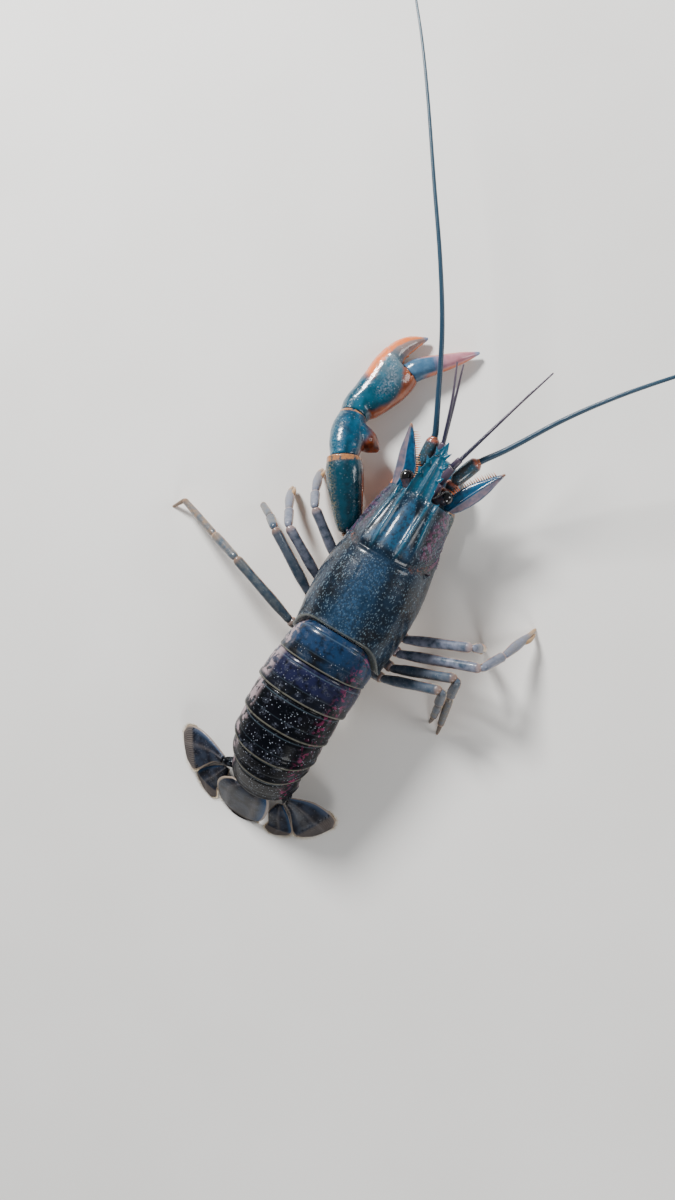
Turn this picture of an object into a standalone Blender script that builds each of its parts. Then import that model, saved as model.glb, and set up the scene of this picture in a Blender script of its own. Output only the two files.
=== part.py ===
"""Redclaw crayfish (Cherax quadricarinatus), life size, standing still.

All sizes are in millimetres, and the mesh builders turn them into metres.
x points to the animal's left, y to its tail and z up. The design origin is
on the floor, under the middle of the carapace's rear margin.
"""
import math

import bmesh
import bpy
from mathutils import Vector

MM = 0.001
GAP = 0.3
JOINT_GAP = 0.6 * GAP
LEFT, RIGHT = 1, -1
SIDES = {"left": LEFT, "right": RIGHT}

# Body: nominal y, half width, top, height of the widest line, lip half width, lip height
CARAPACE = (
    (-43.5, 9.9, 28.3, 21.0, 7.6, 13.9),
    (-38.0, 10.9, 30.6, 21.0, 8.0, 13.9),
    (-32.0, 11.8, 32.2, 20.8, 8.4, 13.8),
    (-25.0, 12.8, 33.2, 20.4, 8.9, 13.6),
    (-19.0, 14.2, 33.6, 19.6, 10.0, 12.8),
    (-15.5, 15.1, 33.8, 19.2, 10.7, 11.7),
    (-12.0, 15.5, 33.8, 19.0, 11.4, 10.9),
    (-6.0, 15.2, 33.6, 18.6, 11.8, 10.6),
    (0.0, 14.3, 33.0, 18.5, 11.4, 10.8),
)
FRONT_Y = -43.5
GROOVE_Y = -23.8
GROOVE_DEPTH = 0.7
ARCH_POWER = 2.3
CARINA_HEIGHT = 0.8
CARINA_X = 3.9
POSTORBITAL_HEIGHT = 0.6
POSTORBITAL_FRONT_X, POSTORBITAL_REAR_X = 5.7, 7.6

# Rostrum: y, half width, height of its edges, depth of the keel
ROSTRUM = (
    (-39.5, 3.9, 29.2, 3.0),
    (-43.5, 3.9, 28.9, 3.0),
    (-47.0, 3.6, 28.9, 2.8),
    (-50.5, 3.1, 28.8, 2.5),
    (-53.5, 2.5, 28.6, 2.1),
    (-56.5, 1.5, 28.4, 1.6),
    (-59.0, 0.7, 28.3, 1.0),
    (-60.3, 0.25, 28.2, 0.5),
)
ROSTRAL_SPINES_Y = (-49.5, -53.0, -56.3)

EYE_RADIUS = 2.0
EYESTALK_RADII = (1.3, 1.5, 1.5)
EYE = (6.4, -47.2, 22.9)

# Abdomen: length, pitch in degrees, half width, arch height, depth of the side lobes,
# and how far its rear end bends to the left
SOMITES = (
    (11.4, 0.0, 13.3, 12.4, 15.0, 0.8),
    (10.4, 3.0, 13.8, 12.6, 18.6, 1.7),
    (10.0, 6.0, 13.2, 12.4, 18.4, 1.9),
    (9.8, 12.0, 12.7, 12.0, 17.6, 1.7),
    (8.0, 38.0, 11.8, 11.2, 16.2, 1.5),
    (11.6, 51.0, 10.6, 9.6, 12.6, 1.2),
)
ABDOMEN_TOP = 33.0
# Rings along each somite: share of its length, swelling, share of the side lobe's depth
SOMITE_RINGS = (
    (0.0, -0.9, 0.15),
    (0.16, -0.15, 0.55),
    (0.45, 0.1, 1.0),
    (0.75, 0.2, 0.9),
    (1.0, 0.1, 0.2),
)

# Telson: distance along it, half width, height over its own line, shift to the animal's left
TELSON = (
    (0.5, 6.4, -1.4, 0.9),
    (3.0, 8.2, -0.9, 1.9),
    (7.5, 9.0, -0.7, 2.5),
    (12.5, 8.6, -0.6, 2.5),
    (16.5, 7.5, -0.5, 2.4),
    (19.0, 5.8, -0.5, 2.3),
    (20.3, 3.8, -0.6, 2.2),
)
TELSON_PITCH = 54.0

LEG_ROWS = {2: -11.0, 3: -5.0, 4: 1.0, 5: 6.8}
CHELIPED_ROW = -20.0

FINISHES = {}


def finish(name, colour, roughness, metallic=0.0):
    """Makes a Principled material of this name once, and returns it."""
    if name not in FINISHES:
        material = bpy.data.materials.new(name)
        material.use_nodes = True
        shader = material.node_tree.nodes["Principled BSDF"]
        shader.inputs["Base Color"].default_value = (*colour, 1.0)
        shader.inputs["Roughness"].default_value = roughness
        shader.inputs["Metallic"].default_value = metallic
        FINISHES[name] = material
    return FINISHES[name]


def shell_blue():
    return finish("shell_blue", (0.02, 0.07, 0.11), 0.3)


def abdomen_black():
    return finish("abdomen_black", (0.012, 0.014, 0.028), 0.3)


def claw_teal():
    return finish("claw_teal", (0.02, 0.13, 0.17), 0.25)


def leg_slate():
    return finish("leg_slate", (0.1, 0.19, 0.22), 0.4)


def feeler_blue():
    return finish("feeler_blue", (0.04, 0.12, 0.18), 0.4)


def belly_cream():
    return finish("belly_cream", (0.42, 0.36, 0.25), 0.5)


def eye_black():
    return finish("eye_black", (0.004, 0.004, 0.005), 0.1)


def clear_scene():
    for old in list(bpy.data.objects):
        bpy.data.objects.remove(old)


def mix(a, b, t):
    return a + (b - a) * t


def ease(t):
    """Smooth step from 0 to 1."""
    t = min(max(t, 0.0), 1.0)
    return t * t * (3 - 2 * t)


def read(table, y):
    """The row of a table at y, smoothly interpolated between its rows."""
    order = 1 if table[-1][0] > table[0][0] else -1
    rows = table[::order]
    k = 0
    while k < len(rows) - 2 and rows[k + 1][0] <= y:
        k += 1
    before, start, end, after = (rows[min(max(i, 0), len(rows) - 1)] for i in range(k - 1, k + 3))
    t = (y - start[0]) / (end[0] - start[0])
    values = []
    for a, b, c, d in zip(before[1:], start[1:], end[1:], after[1:]):
        rise = (c - a) / 2
        leave = (d - b) / 2
        values.append((2 * t**3 - 3 * t**2 + 1) * b + (t**3 - 2 * t**2 + t) * rise
                      + (3 * t**2 - 2 * t**3) * c + (t**3 - t**2) * leave)
    return values


def smooth_route(points, steps):
    """Points on one smooth curve through the route's own points."""
    route = [Vector(p) for p in points]
    padded = [2 * route[0] - route[1], *route, 2 * route[-1] - route[-2]]
    found = []
    for a, b, c, d in zip(padded, padded[1:], padded[2:], padded[3:]):
        for step in range(steps):
            t = step / steps
            found.append(0.5 * (2 * b + (c - a) * t + (2 * a - 5 * b + 4 * c - d) * t**2
                                + (3 * b - a - 3 * c + d) * t**3))
    found.append(route[-1])
    return found


def add_object(name, mesh, material):
    mesh.materials.clear()
    mesh.materials.append(material)
    made = bpy.data.objects.new(name, mesh)
    bpy.context.scene.collection.objects.link(made)
    return made


def mesh_object(name, shape, material):
    """Turns a bmesh into an object with its faces outwards and cut into triangles."""
    bmesh.ops.recalc_face_normals(shape, faces=shape.faces)
    bmesh.ops.triangulate(shape, faces=shape.faces, ngon_method="EAR_CLIP")
    mesh = bpy.data.meshes.new(name)
    shape.to_mesh(mesh)
    shape.free()
    made = add_object(name, mesh, material)
    mesh.shade_smooth()
    mesh.set_sharp_from_angle(angle=math.radians(40))
    return made


def loft(name, rings, material, ladder_end=False, ladder_start=False):
    """Closed solid through rings of equally many points. A ladder end joins each point
    of a ring to the one across from it, so that a curved end follows one surface."""
    shape = bmesh.new()
    loops = [[shape.verts.new(Vector(p) * MM) for p in ring] for ring in rings]
    count = len(loops[0])
    for one, two in zip(loops, loops[1:]):
        for i in range(count):
            j = (i + 1) % count
            shape.faces.new((one[i], one[j], two[j], two[i]))
    for loop, ladder in ((loops[0], ladder_start), (loops[-1], ladder_end)):
        if ladder:
            close_with_ladder(shape, loop)
        else:
            shape.faces.new(loop)
    return mesh_object(name, shape, material)


def close_with_ladder(shape, loop):
    half = len(loop) // 2
    shape.faces.new((loop[0], loop[1], loop[-1]))
    for i in range(1, half - 1):
        shape.faces.new((loop[i], loop[i + 1], loop[-i - 1], loop[-i]))
    shape.faces.new((loop[half - 1], loop[half], loop[half + 1]))


def section(centre, along, up, half_width, half_height, sides=10, power=1.0):
    """Oval ring round a centre, square to the direction along."""
    along = along.normalized()
    across = along.cross(up).normalized()
    rise = across.cross(along)
    ring = []
    for i in range(sides):
        angle = 2 * math.pi * i / sides
        c, s = math.cos(angle), math.sin(angle)
        x = math.copysign(abs(c)**power, c) * half_width
        z = math.copysign(abs(s)**power, s) * half_height
        ring.append(centre + across * x + rise * z)
    return ring


def article(name, rows, material, up=(0, 0, 1), sides=10, power=0.85, start=None, end=None):
    """One limb segment: rows of (centre, half width, half height) from root to end.
    start and end are the directions that its end faces look along."""
    centres = [Vector(row[0]) for row in rows]
    rings = []
    for i, (_, half_width, half_height) in enumerate(rows):
        along = centres[min(i + 1, len(rows) - 1)] - centres[max(i - 1, 0)]
        if start and i == 0:
            along = Vector(start)
        if end and i == len(rows) - 1:
            along = Vector(end)
        rings.append(section(centres[i], along, Vector(up), half_width, half_height, sides, power))
    return loft(name, rings, material)


def tube(name, points, radii, material, resolution=1):
    """Round limb or feeler: a bevelled curve with a radius at each point, as a closed mesh."""
    curve = bpy.data.curves.new(name, "CURVE")
    curve.dimensions = "3D"
    curve.bevel_depth = MM
    curve.bevel_resolution = resolution
    curve.use_fill_caps = True
    spline = curve.splines.new("POLY")
    spline.points.add(len(points) - 1)
    for knot, place, radius in zip(spline.points, points, radii):
        knot.co = (*(Vector(place) * MM), 1.0)
        knot.radius = radius
    guide = bpy.data.objects.new(name, curve)
    bpy.context.scene.collection.objects.link(guide)
    bpy.context.view_layer.update()
    mesh = bpy.data.meshes.new_from_object(guide.evaluated_get(bpy.context.evaluated_depsgraph_get()))
    bpy.data.objects.remove(guide)
    bpy.data.curves.remove(curve)
    shape = bmesh.new()
    shape.from_mesh(mesh)
    bpy.data.meshes.remove(mesh)
    bmesh.ops.remove_doubles(shape, verts=shape.verts, dist=1e-6)
    return mesh_object(name, shape, material)


def blade(name, rows, material, thickness=0.9, crown=0.5, up=(0, 0, 1)):
    """Thin plate: rows of its two edge points, crowned in the middle."""
    edges = [(Vector(one), Vector(two)) for one, two in rows]
    centres = [(one + two) / 2 for one, two in edges]
    rings = []
    for i, (one, two) in enumerate(edges):
        along = centres[min(i + 1, len(rows) - 1)] - centres[max(i - 1, 0)]
        normal = (two - one).cross(along).normalized()
        if normal.dot(Vector(up)) < 0:
            normal = -normal
        middle = [one.lerp(two, t) + normal * crown * 4 * t * (1 - t) for t in (0.0, 0.25, 0.5, 0.75, 1.0)]
        upper = [p + normal * thickness / 2 for p in middle]
        lower = [p - normal * thickness / 2 for p in reversed(middle)]
        rings.append(upper + lower)
    return loft(name, rings, material)


def edges_of(rows, across=(1, 0, 0)):
    """Rows of (centre, half width) as rows of two edge points."""
    return [(Vector(centre) - Vector(across) * half_width, Vector(centre) + Vector(across) * half_width)
            for centre, half_width in rows]


def cone(name, root, tip, radius, sides=5):
    """A spine from a sunk root to its point."""
    shape = bmesh.new()
    root, tip = Vector(root), Vector(tip)
    direction = tip - root
    bmesh.ops.create_cone(shape, cap_ends=True, segments=sides, radius1=radius * MM,
                          radius2=0.12 * MM, depth=direction.length * MM)
    turn = direction.to_track_quat("Z", "Y").to_matrix().to_4x4()
    turn.translation = (root + tip) / 2 * MM
    bmesh.ops.transform(shape, matrix=turn, verts=shape.verts)
    return mesh_object(name, shape, claw_teal())


def keep_largest(shape):
    """Deletes every closed surface but the largest."""
    left = set(shape.verts)
    islands = []
    while left:
        island = {left.pop()}
        edge_of_search = list(island)
        while edge_of_search:
            for edge in edge_of_search.pop().link_edges:
                for vert in edge.verts:
                    if vert in left:
                        left.discard(vert)
                        island.add(vert)
                        edge_of_search.append(vert)
        islands.append(island)
    islands.sort(key=len)
    bmesh.ops.delete(shape, geom=[v for island in islands[:-1] for v in island], context="VERTS")


def fuse(body, pieces):
    """Joins the pieces to the body by one Boolean union, so that it stays one closed solid."""
    group = bpy.data.collections.new(body.name + "_pieces")
    for piece in pieces:
        bpy.context.scene.collection.objects.unlink(piece)
        group.objects.link(piece)
    bpy.context.scene.collection.children.link(group)
    union = body.modifiers.new("pieces", "BOOLEAN")
    union.operation = "UNION"
    union.operand_type = "COLLECTION"
    union.collection = group
    union.solver = "EXACT"
    bpy.context.view_layer.update()
    mesh = bpy.data.meshes.new_from_object(body.evaluated_get(bpy.context.evaluated_depsgraph_get()))
    body.modifiers.remove(union)
    material = body.data.materials[0]
    for piece in list(group.objects):
        bpy.data.objects.remove(piece)
    bpy.data.collections.remove(group)
    shape = bmesh.new()
    shape.from_mesh(mesh)
    bpy.data.meshes.remove(mesh)
    bmesh.ops.remove_doubles(shape, verts=shape.verts, dist=1e-6)
    keep_largest(shape)
    name = body.name
    bpy.data.objects.remove(body)
    return mesh_object(name, shape, material)


def rest_on_floor(body):
    """Cuts the small flat on which this piece stands, at z = 0."""
    shape = bmesh.new()
    shape.from_mesh(body.data)
    geometry = list(shape.verts) + list(shape.edges) + list(shape.faces)
    cut = bmesh.ops.bisect_plane(shape, geom=geometry, dist=1e-7, plane_co=(0, 0, 0),
                                 plane_no=(0, 0, -1), clear_outer=True)
    rim = [e for e in cut["geom_cut"] if isinstance(e, bmesh.types.BMEdge)]
    if rim:
        bmesh.ops.holes_fill(shape, edges=rim)
    name, material = body.name, body.data.materials[0]
    bpy.data.objects.remove(body)
    return mesh_object(name, shape, material)


# Carapace

def front_margin(z):
    return FRONT_Y + 1.0 * max(0.0, (21.0 - z) / 7.4)**1.5


def groove_line(z):
    """The cervical groove runs forward as it goes down the side."""
    return GROOVE_Y - 3.2 * (max(0.0, 33.5 - z) / 8.5)**1.6


def rear_margin(z):
    """The rear margin runs back down the sides, then forward again to the lip."""
    return 5.8 * ease((31.5 - z) / 12.5) - 2.6 * ease((16.5 - z) / 6.0)


def carapace_half(y, groove):
    """(x, z) of the section's left half, from the top to the lower lip."""
    half_width, top, widest, lip_half, lip = read(CARAPACE, y)
    half_width -= groove
    top -= groove
    front = ease((-22.0 - y) / 8.0)
    crest = POSTORBITAL_FRONT_X + (POSTORBITAL_REAR_X - POSTORBITAL_FRONT_X) * (y - FRONT_Y) / 14.5
    crest = min(crest, POSTORBITAL_REAR_X)
    places = [1.4, 2.7, CARINA_X, (CARINA_X + crest) / 2, crest, crest + 1.2]
    lifts = [-0.1, -0.35, CARINA_HEIGHT, -0.1, POSTORBITAL_HEIGHT, 0.0]
    places += [mix(crest + 1.2, half_width, t) for t in (0.4, 0.7, 0.9, 1.0)]
    lifts += [0.0] * 4
    half = []
    for x, lift in zip(places, lifts):
        share = min(x / half_width, 1.0)
        z = widest + (top - widest) * math.sqrt(max(0.0, 1 - share**ARCH_POWER))
        half.append((x, z + lift * front))
    for angle in (30, 60, 90):
        turn = math.radians(angle)
        half.append((mix(lip_half, half_width, math.cos(turn)), widest - (widest - lip) * math.sin(turn)))
    return top, lip, half


def carapace_ring(y, share, rear, groove=0.0):
    """A ring whose points lie between the front margin, the groove and the rear margin."""
    top, lip, half = carapace_half(y, groove)
    line = [(0.0, top), *half, (0.0, lip)]
    ring = []
    for x, z in line + [(-x, z) for x, z in reversed(half)]:
        if rear:
            place = mix(groove_line(z), rear_margin(z), share)
        else:
            place = mix(front_margin(z), groove_line(z), share)
        ring.append((x, place, z))
    return ring


SPINE_SINK = 0.6
ROSTRAL_SPINE_REACH, ROSTRAL_SPINE_RADIUS = (1.5, -2.1, 0.6), 0.5
# Spines of the animal's left side: root, reach to the tip, radius; over the eye, on the cheek, on the collar
CARAPACE_SPINES = (
    ((6.0, -41.5, 27.6), (0.3, -3.4, 0.0), 0.7),
    ((9.0, -42.0, 17.6), (0.4, -3.0, 0.0), 0.8),
    ((12.2, -24.8, 25.0), (1.8, -1.7, 0.7), 0.8),
)


def mirrored(point, side):
    """A point or reach given for the left side, on this side."""
    return Vector((side * point[0], point[1], point[2]))


def make_carapace():
    rings = []
    for share in (0.0, 0.13, 0.3, 0.48, 0.65, 0.82, 0.94):
        rings.append(carapace_ring(mix(FRONT_Y, GROOVE_Y, share), share, False))
    rings.append(carapace_ring(GROOVE_Y, 1.0, False, GROOVE_DEPTH))
    for share in (0.06, 0.16, 0.3, 0.45, 0.6, 0.75, 0.88, 1.0):
        rings.append(carapace_ring(mix(GROOVE_Y, 0.0, share), share, True))
    body = loft("carapace", rings, shell_blue(), ladder_end=True)
    pieces = [make_rostrum()]
    for side in (LEFT, RIGHT):
        for y in ROSTRAL_SPINES_Y:
            half_width, edge, _ = read(ROSTRUM, y)
            root = Vector((side * (half_width - SPINE_SINK), y + SPINE_SINK, edge - SPINE_SINK / 2))
            tip = root + mirrored(ROSTRAL_SPINE_REACH, side)
            pieces.append(cone("spine", root, tip, ROSTRAL_SPINE_RADIUS))
        for root, reach, radius in CARAPACE_SPINES:
            place = mirrored(root, side)
            pieces.append(cone("spine", place, place + mirrored(reach, side), radius))
    return fuse(body, pieces)


def make_rostrum():
    rings = []
    for y, half_width, edge, keel in ROSTRUM:
        trough = edge - 0.22 * half_width
        ridge = edge - 0.1 * half_width
        ring = [(0.0, ridge), (0.55 * half_width, trough), (half_width, edge),
                (0.85 * half_width, edge - 0.4 * keel), (0.0, edge - keel),
                (-0.85 * half_width, edge - 0.4 * keel), (-half_width, edge),
                (-0.55 * half_width, trough)]
        rings.append([(x, y, z) for x, z in ring])
    return loft("rostrum", rings, shell_blue())


# Head

def make_eye(name, side):
    centre = Vector((side * EYE[0], EYE[1], EYE[2]))
    shape = bmesh.new()
    bmesh.ops.create_uvsphere(shape, u_segments=14, v_segments=8, radius=EYE_RADIUS * MM)
    bmesh.ops.translate(shape, vec=centre * MM, verts=shape.verts)
    return mesh_object("eye_" + name, shape, eye_black())


def make_eyestalk(name, side):
    centre = Vector((side * EYE[0], EYE[1], EYE[2]))
    root = Vector((side * 4.3, FRONT_Y - 1.4 * GAP, 23.0))
    elbow = root + Vector((side * 0.15, -0.7, 0.0))
    reach = centre - elbow
    end = centre - reach.normalized() * (EYE_RADIUS + 1.3 * GAP)
    material = finish("stalk", (0.2, 0.14, 0.14), 0.4)
    return tube("eyestalk_" + name, [root, elbow, end], EYESTALK_RADII, material, 2)


ANTENNULES = {
    "left": (((2.1, -43.8, 19.9), (2.1, -50, 20.6), (2.0, -56, 22.0), (2.0, -60.3, 23.0)),
             ((5.2, -72.3, 24.0), (8.1, -82.2, 24.4)), ((5.6, -71.6, 25.6), (9.6, -81.4, 26.6))),
    "right": (((-2.1, -43.8, 19.9), (-2.4, -50, 20.6), (-3.4, -55.5, 22.0), (-4.4, -58.4, 23.0)),
              ((-9.0, -72.6, 24.2), (-15.0, -91.2, 24.5)), ((-8.9, -71.0, 25.8), (-12.9, -83.8, 26.8))),
}


ANTENNULE_RADII = (1.2, 1.25, 1.15, 0.95)
THREAD_ROOT, THREAD_TIP = 0.62, 0.27


def make_antennule(name):
    """A stem with its two threads."""
    stem, inner, outer = ANTENNULES[name]
    material = finish("antennule_purple", (0.05, 0.04, 0.09), 0.35)
    body = tube("antennule_" + name, stem, ANTENNULE_RADII, material, 2)
    start = Vector(stem[-2]).lerp(Vector(stem[-1]), 0.6)
    threads = []
    for shift, end in ((-0.25, inner), (0.25, outer)):
        first = Vector(stem[-1]) + Vector((0, -0.6, shift))
        route = [start + Vector((0, 0, shift)), *smooth_route([first, *end], 6)]
        radii = [mix(THREAD_ROOT, THREAD_TIP, i / (len(route) - 1)) for i in range(len(route))]
        threads.append(tube("thread", route, radii, feeler_blue(), 1))
    return fuse(body, threads)


PEDUNCLES = {
    "left": ((6.3, -43.9, 16.4), (6.2, -46.5, 16.4), (5.8, -50.5, 17.0), (5.3, -52.6, 17.9),
             (5.1, -54.2, 18.9), (5.1, -58.4, 20.4), (5.4, -60.6, 21.3), (5.5, -61.1, 21.5)),
    "right": ((-6.3, -43.9, 16.4), (-5.9, -46.5, 16.4), (-5.3, -50.5, 17.0), (-5.5, -52.8, 17.8),
              (-6.2, -54.8, 18.6), (-8.0, -58.9, 19.7), (-9.0, -60.7, 20.2), (-9.3, -61.1, 20.3)),
}
PEDUNCLE_RADII = (2.2, 2.5, 2.35, 1.8, 2.15, 2.2, 1.5, 1.2)

# Routes of the long feelers, from the peduncle's end to the tip
FEELERS = {
    "left": ((9.2, -69.8, 25), (17.1, -86.3, 30), (26.4, -101.8, 34),
             (38.6, -119.8, 36), (51, -138.2, 37), (61.1, -152.4, 37), (70.5, -164.5, 36),
             (77, -173.5, 34)),
    "right": ((-14.9, -68.1, 22), (-23.4, -80.2, 25), (-32.2, -90.7, 28),
              (-42.7, -101.8, 30), (-58, -117, 31), (-74, -132, 30), (-89, -144.5, 28), (-101, -153.5, 26)),
}
FEELER_ROOT, FEELER_TIP = 1.0, 0.27


def make_peduncle(name):
    return tube("antenna_peduncle_" + name, PEDUNCLES[name], PEDUNCLE_RADII, feeler_blue(), 3)


def make_feeler(name):
    """The long feeler in two lengths that meet face to face."""
    before, end = (Vector(p) for p in PEDUNCLES[name][-2:])
    out = (end - before).normalized()
    route = [end + out * GAP, *smooth_route([end + out, *FEELERS[name]], 4)]
    last = len(route) - 1
    radii = [mix(FEELER_ROOT, FEELER_TIP, (i / last)**0.8) for i in range(last + 1)]
    half = last // 2
    near = route[: half + 1]
    step = (route[half + 1] - route[half]).normalized() * GAP
    far = [route[half] + step, *route[half + 1:]]
    tube(f"antenna_{name}_near", near, radii[: half + 1], feeler_blue())
    tube(f"antenna_{name}_far", far, radii[half:], feeler_blue())


SCALES = {
    "left": (((8.1, -43.9, 20.0), 1.7), ((8.0, -46.5, 20.0), 2.6), ((8.5, -50, 20.2), 3.1),
             ((10.1, -54, 20.6), 2.5), ((11.6, -57.8, 20.8), 1.5), ((13.2, -61.4, 21.0), 0.35)),
    "right": (((-8.4, -44.4, 20.0), 1.6), ((-9.4, -46.8, 20.0), 2.7), ((-11.3, -50.8, 20.2), 3.2),
              ((-13.2, -54.4, 20.5), 2.7), ((-15.2, -57.8, 20.8), 1.5), ((-17.2, -61.0, 21.0), 0.35)),
}


def make_scale(name):
    """The antennal scale, a pointed blade beside the eye."""
    return blade("scaphocerite_" + name, edges_of(SCALES[name]), feeler_blue(), crown=0.3)


MAXILLIPED = (((3.2, -30.5, 10.6), 1.3, 1.2), ((3.4, -33, 10.9), 1.8, 1.5), ((3.4, -38, 11.2), 1.7, 1.5),
              ((3.2, -42, 11.4), 1.5, 1.4), ((2.7, -45.5, 11.3), 1.2, 1.2), ((2.1, -48.8, 10.9), 0.6, 0.6))


def make_maxilliped(name, side):
    rows = [((side * x, y, z), w, h) for (x, y, z), w, h in MAXILLIPED]
    return article("maxilliped_" + name, rows, belly_cream(), sides=8)


# Underside of the thorax

STERNUM_LOW_HALF, STERNUM_LOW, STERNUM_SLOPE = 4.6, 6.9, 0.444
STERNUM_FRONT, STERNUM_REAR = -30.0, 9.3


def make_sternum():
    """The plate between the legs: its flat sides lean outwards, and its top follows the carapace."""
    rings = []
    for y in (STERNUM_FRONT, -27.0, -24.0, -20.0, -15.0, -10.0, -4.0, 3.0, STERNUM_REAR):
        upper = sternum_top(y)
        narrow = 1.3 * ease((-24.0 - y) / 6.0)
        low = STERNUM_LOW + narrow
        wide, slim = (STERNUM_LOW_HALF + STERNUM_SLOPE * (z - STERNUM_LOW) - narrow for z in (upper, low))
        rings.append([(0, y, upper), (wide, y, upper), (slim, y, low), (0, y, low + 0.7),
                      (-slim, y, low), (-wide, y, upper)])
    return loft("sternum", rings, belly_cream())


def sternum_top(y):
    return 10.1 + 2.0 * ease((-14.0 - y) / 16.0)


def limb_root(y, side, z):
    """Where a limb meets the sternum's side, a gap away from it, and the way it leaves."""
    outward = Vector((side, 0.0, -STERNUM_SLOPE)).normalized()
    x = STERNUM_LOW_HALF + STERNUM_SLOPE * (z - STERNUM_LOW)
    return Vector((side * x, y, z)) + outward * GAP, outward


# Claw legs. The right claw is folded under the head and a little slimmer than the left.

CLAW_LEGS = {
    "left": {
        "base": ((9.6, -20.9, 6.8), (12.6, -23.8, 8.1), (15.4, -26.8, 10.4)),
        "merus": ((17.2, -28.8, 11.3), (21.0, -34.4, 12.4), (25.0, -40.7, 13.4), (27.3, -44.2, 13.6)),
        "carpus": ((29.2, -48.2, 12.4), (31.1, -52.6, 10.8), (32.6, -57.0, 8.7)),
        "knob": ((28.3, -53.0, 10.4), (20.5, -51.8, 8.0)),
        "palm": ((33.0, -60.8, 6.6), (31.6, -65.2, 5.3), (29.9, -71.0, 4.7), (29.2, -75.2, 4.5),
                 (28.7, -78.4, 4.4)),
        "finger": ((31.7, -77.0, 4.2), (32.1, -80.4, 4.0), (30.9, -84.0, 3.4), (28.9, -87.0, 2.7),
                   (25.9, -90.3, 2.0)),
        "dactyl": ((24.9, -77.5, 4.4), (22.6, -80.6, 4.3), (17.6, -85.4, 3.6), (13.5, -89.6, 2.8),
                   (9.7, -93.6, 1.9)),
        "tilt": (-0.15, 0.05, 1.0),
        "girth": 1.0,
    },
    "right": {
        "base": ((-8.6, -21.8, 5.9), (-8.6, -25.2, 5.1), (-7.8, -28.4, 4.8)),
        "merus": ((-7.1, -31.6, 4.7), (-6.1, -36.8, 4.7), (-4.8, -43.4, 4.6), (-4.4, -46.2, 4.6)),
        "carpus": ((-4.2, -49.6, 4.6), (-3.0, -53.2, 4.6), (0.3, -55.9, 4.6)),
        "knob": ((-2.6, -52.0, 4.7), (0.6, -49.0, 4.6)),
        "palm": ((4.2, -55.6, 4.5), (6.3, -53.0, 4.4), (7.0, -48.6, 4.3), (6.9, -43.4, 4.2),
                 (6.8, -40.4, 4.2)),
        "finger": ((9.2, -41.0, 4.1), (9.7, -38.0, 3.9), (9.4, -34.6, 3.4), (8.2, -31.4, 2.7),
                   (5.9, -28.6, 2.0)),
        "dactyl": ((2.9, -39.5, 4.1), (2.6, -37.4, 3.8), (2.3, -33.8, 3.1), (2.4, -30.8, 2.5),
                   (3.3, -27.8, 1.8)),
        "tilt": (0.0, 0.0, 1.0),
        "girth": 0.84,
    },
}
CLAW_SIZES = {
    "base": ((2.1, 1.6), (2.4, 2.0), (2.7, 2.4), (2.8, 2.6), (3.1, 2.8)),
    "merus": ((3.4, 3.0), (4.1, 3.8), (5.1, 4.4), (5.7, 4.9), (5.2, 4.5)),
    "carpus": ((4.2, 3.8), (5.1, 4.5), (5.2, 4.6), (4.3, 4.0)),
    "propodus": ((4.1, 3.8), (5.1, 4.5), (6.2, 5.1), (7.2, 5.3), (7.6, 5.2), (7.2, 4.8)),
}
FINGER_SIZES = ((3.8, 3.9), (3.4, 3.6), (2.9, 3.1), (2.1, 2.5), (0.4, 0.5))
DACTYL_SIZES = ((3.3, 3.3), (3.3, 3.4), (2.6, 2.8), (1.75, 2.1), (0.4, 0.5))
CLAW_TEETH = (0.3, 0.5, 0.68)
# The wrist's spiny knob: share of its reach, radius
KNOB = ((0.0, 3.9), (0.45, 3.5), (0.75, 2.4), (1.0, 0.7))


def knob_rows(root, tip, girth):
    return [(Vector(root).lerp(Vector(tip), share), radius * girth, radius * girth) for share, radius in KNOB]


def sized(points, sizes, girth):
    return [(p, w * girth, h * girth) for p, (w, h) in zip(points, sizes)]


def teeth_on(rows, toward, girth):
    """Small blunt teeth along the biting edge of a finger."""
    teeth = []
    for share in CLAW_TEETH:
        place = share * (len(rows) - 1)
        k = int(place)
        centre = Vector(rows[k][0]).lerp(Vector(rows[k + 1][0]), place - k)
        width = mix(rows[k][1], rows[k + 1][1], place - k)
        along = (Vector(rows[k + 1][0]) - Vector(rows[k][0])).normalized()
        out = (toward - along * toward.dot(along)).normalized()
        root = centre + out * (width - 0.9 * girth)
        teeth.append(cone("tooth", root, root + out * 1.6 * girth, 0.7))
    return teeth


def finger_hinge(pose):
    """The way that the palm's end and the moving finger's root face."""
    palm, finger = (Vector(pose["palm"][-1]) - Vector(pose["palm"][-2]),
                    Vector(pose["dactyl"][1]) - Vector(pose["dactyl"][0]))
    return palm.normalized() + finger.normalized()


def claw_chain(name, side):
    """The points of each segment. Neighbours share a joint, where both end faces look one way
    and keep a gap."""
    pose = CLAW_LEGS[name]
    root, outward = limb_root(CHELIPED_ROW, side, 7.9)
    base = [root, root + outward * 1.2, *(Vector(p) for p in pose["base"])]
    lists = [base] + [[Vector(p) for p in pose[key]] for key in ("merus", "carpus", "palm")]
    faces = [outward]
    for one, two in zip(lists, lists[1:]):
        facing = (two[0] - one[-2]).normalized()
        faces.append(facing)
        two.insert(0, one[-1] + facing * GAP)
    faces.append(finger_hinge(pose))
    return zip(("base", "merus", "carpus", "propodus"), lists, faces, faces[1:])


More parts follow.
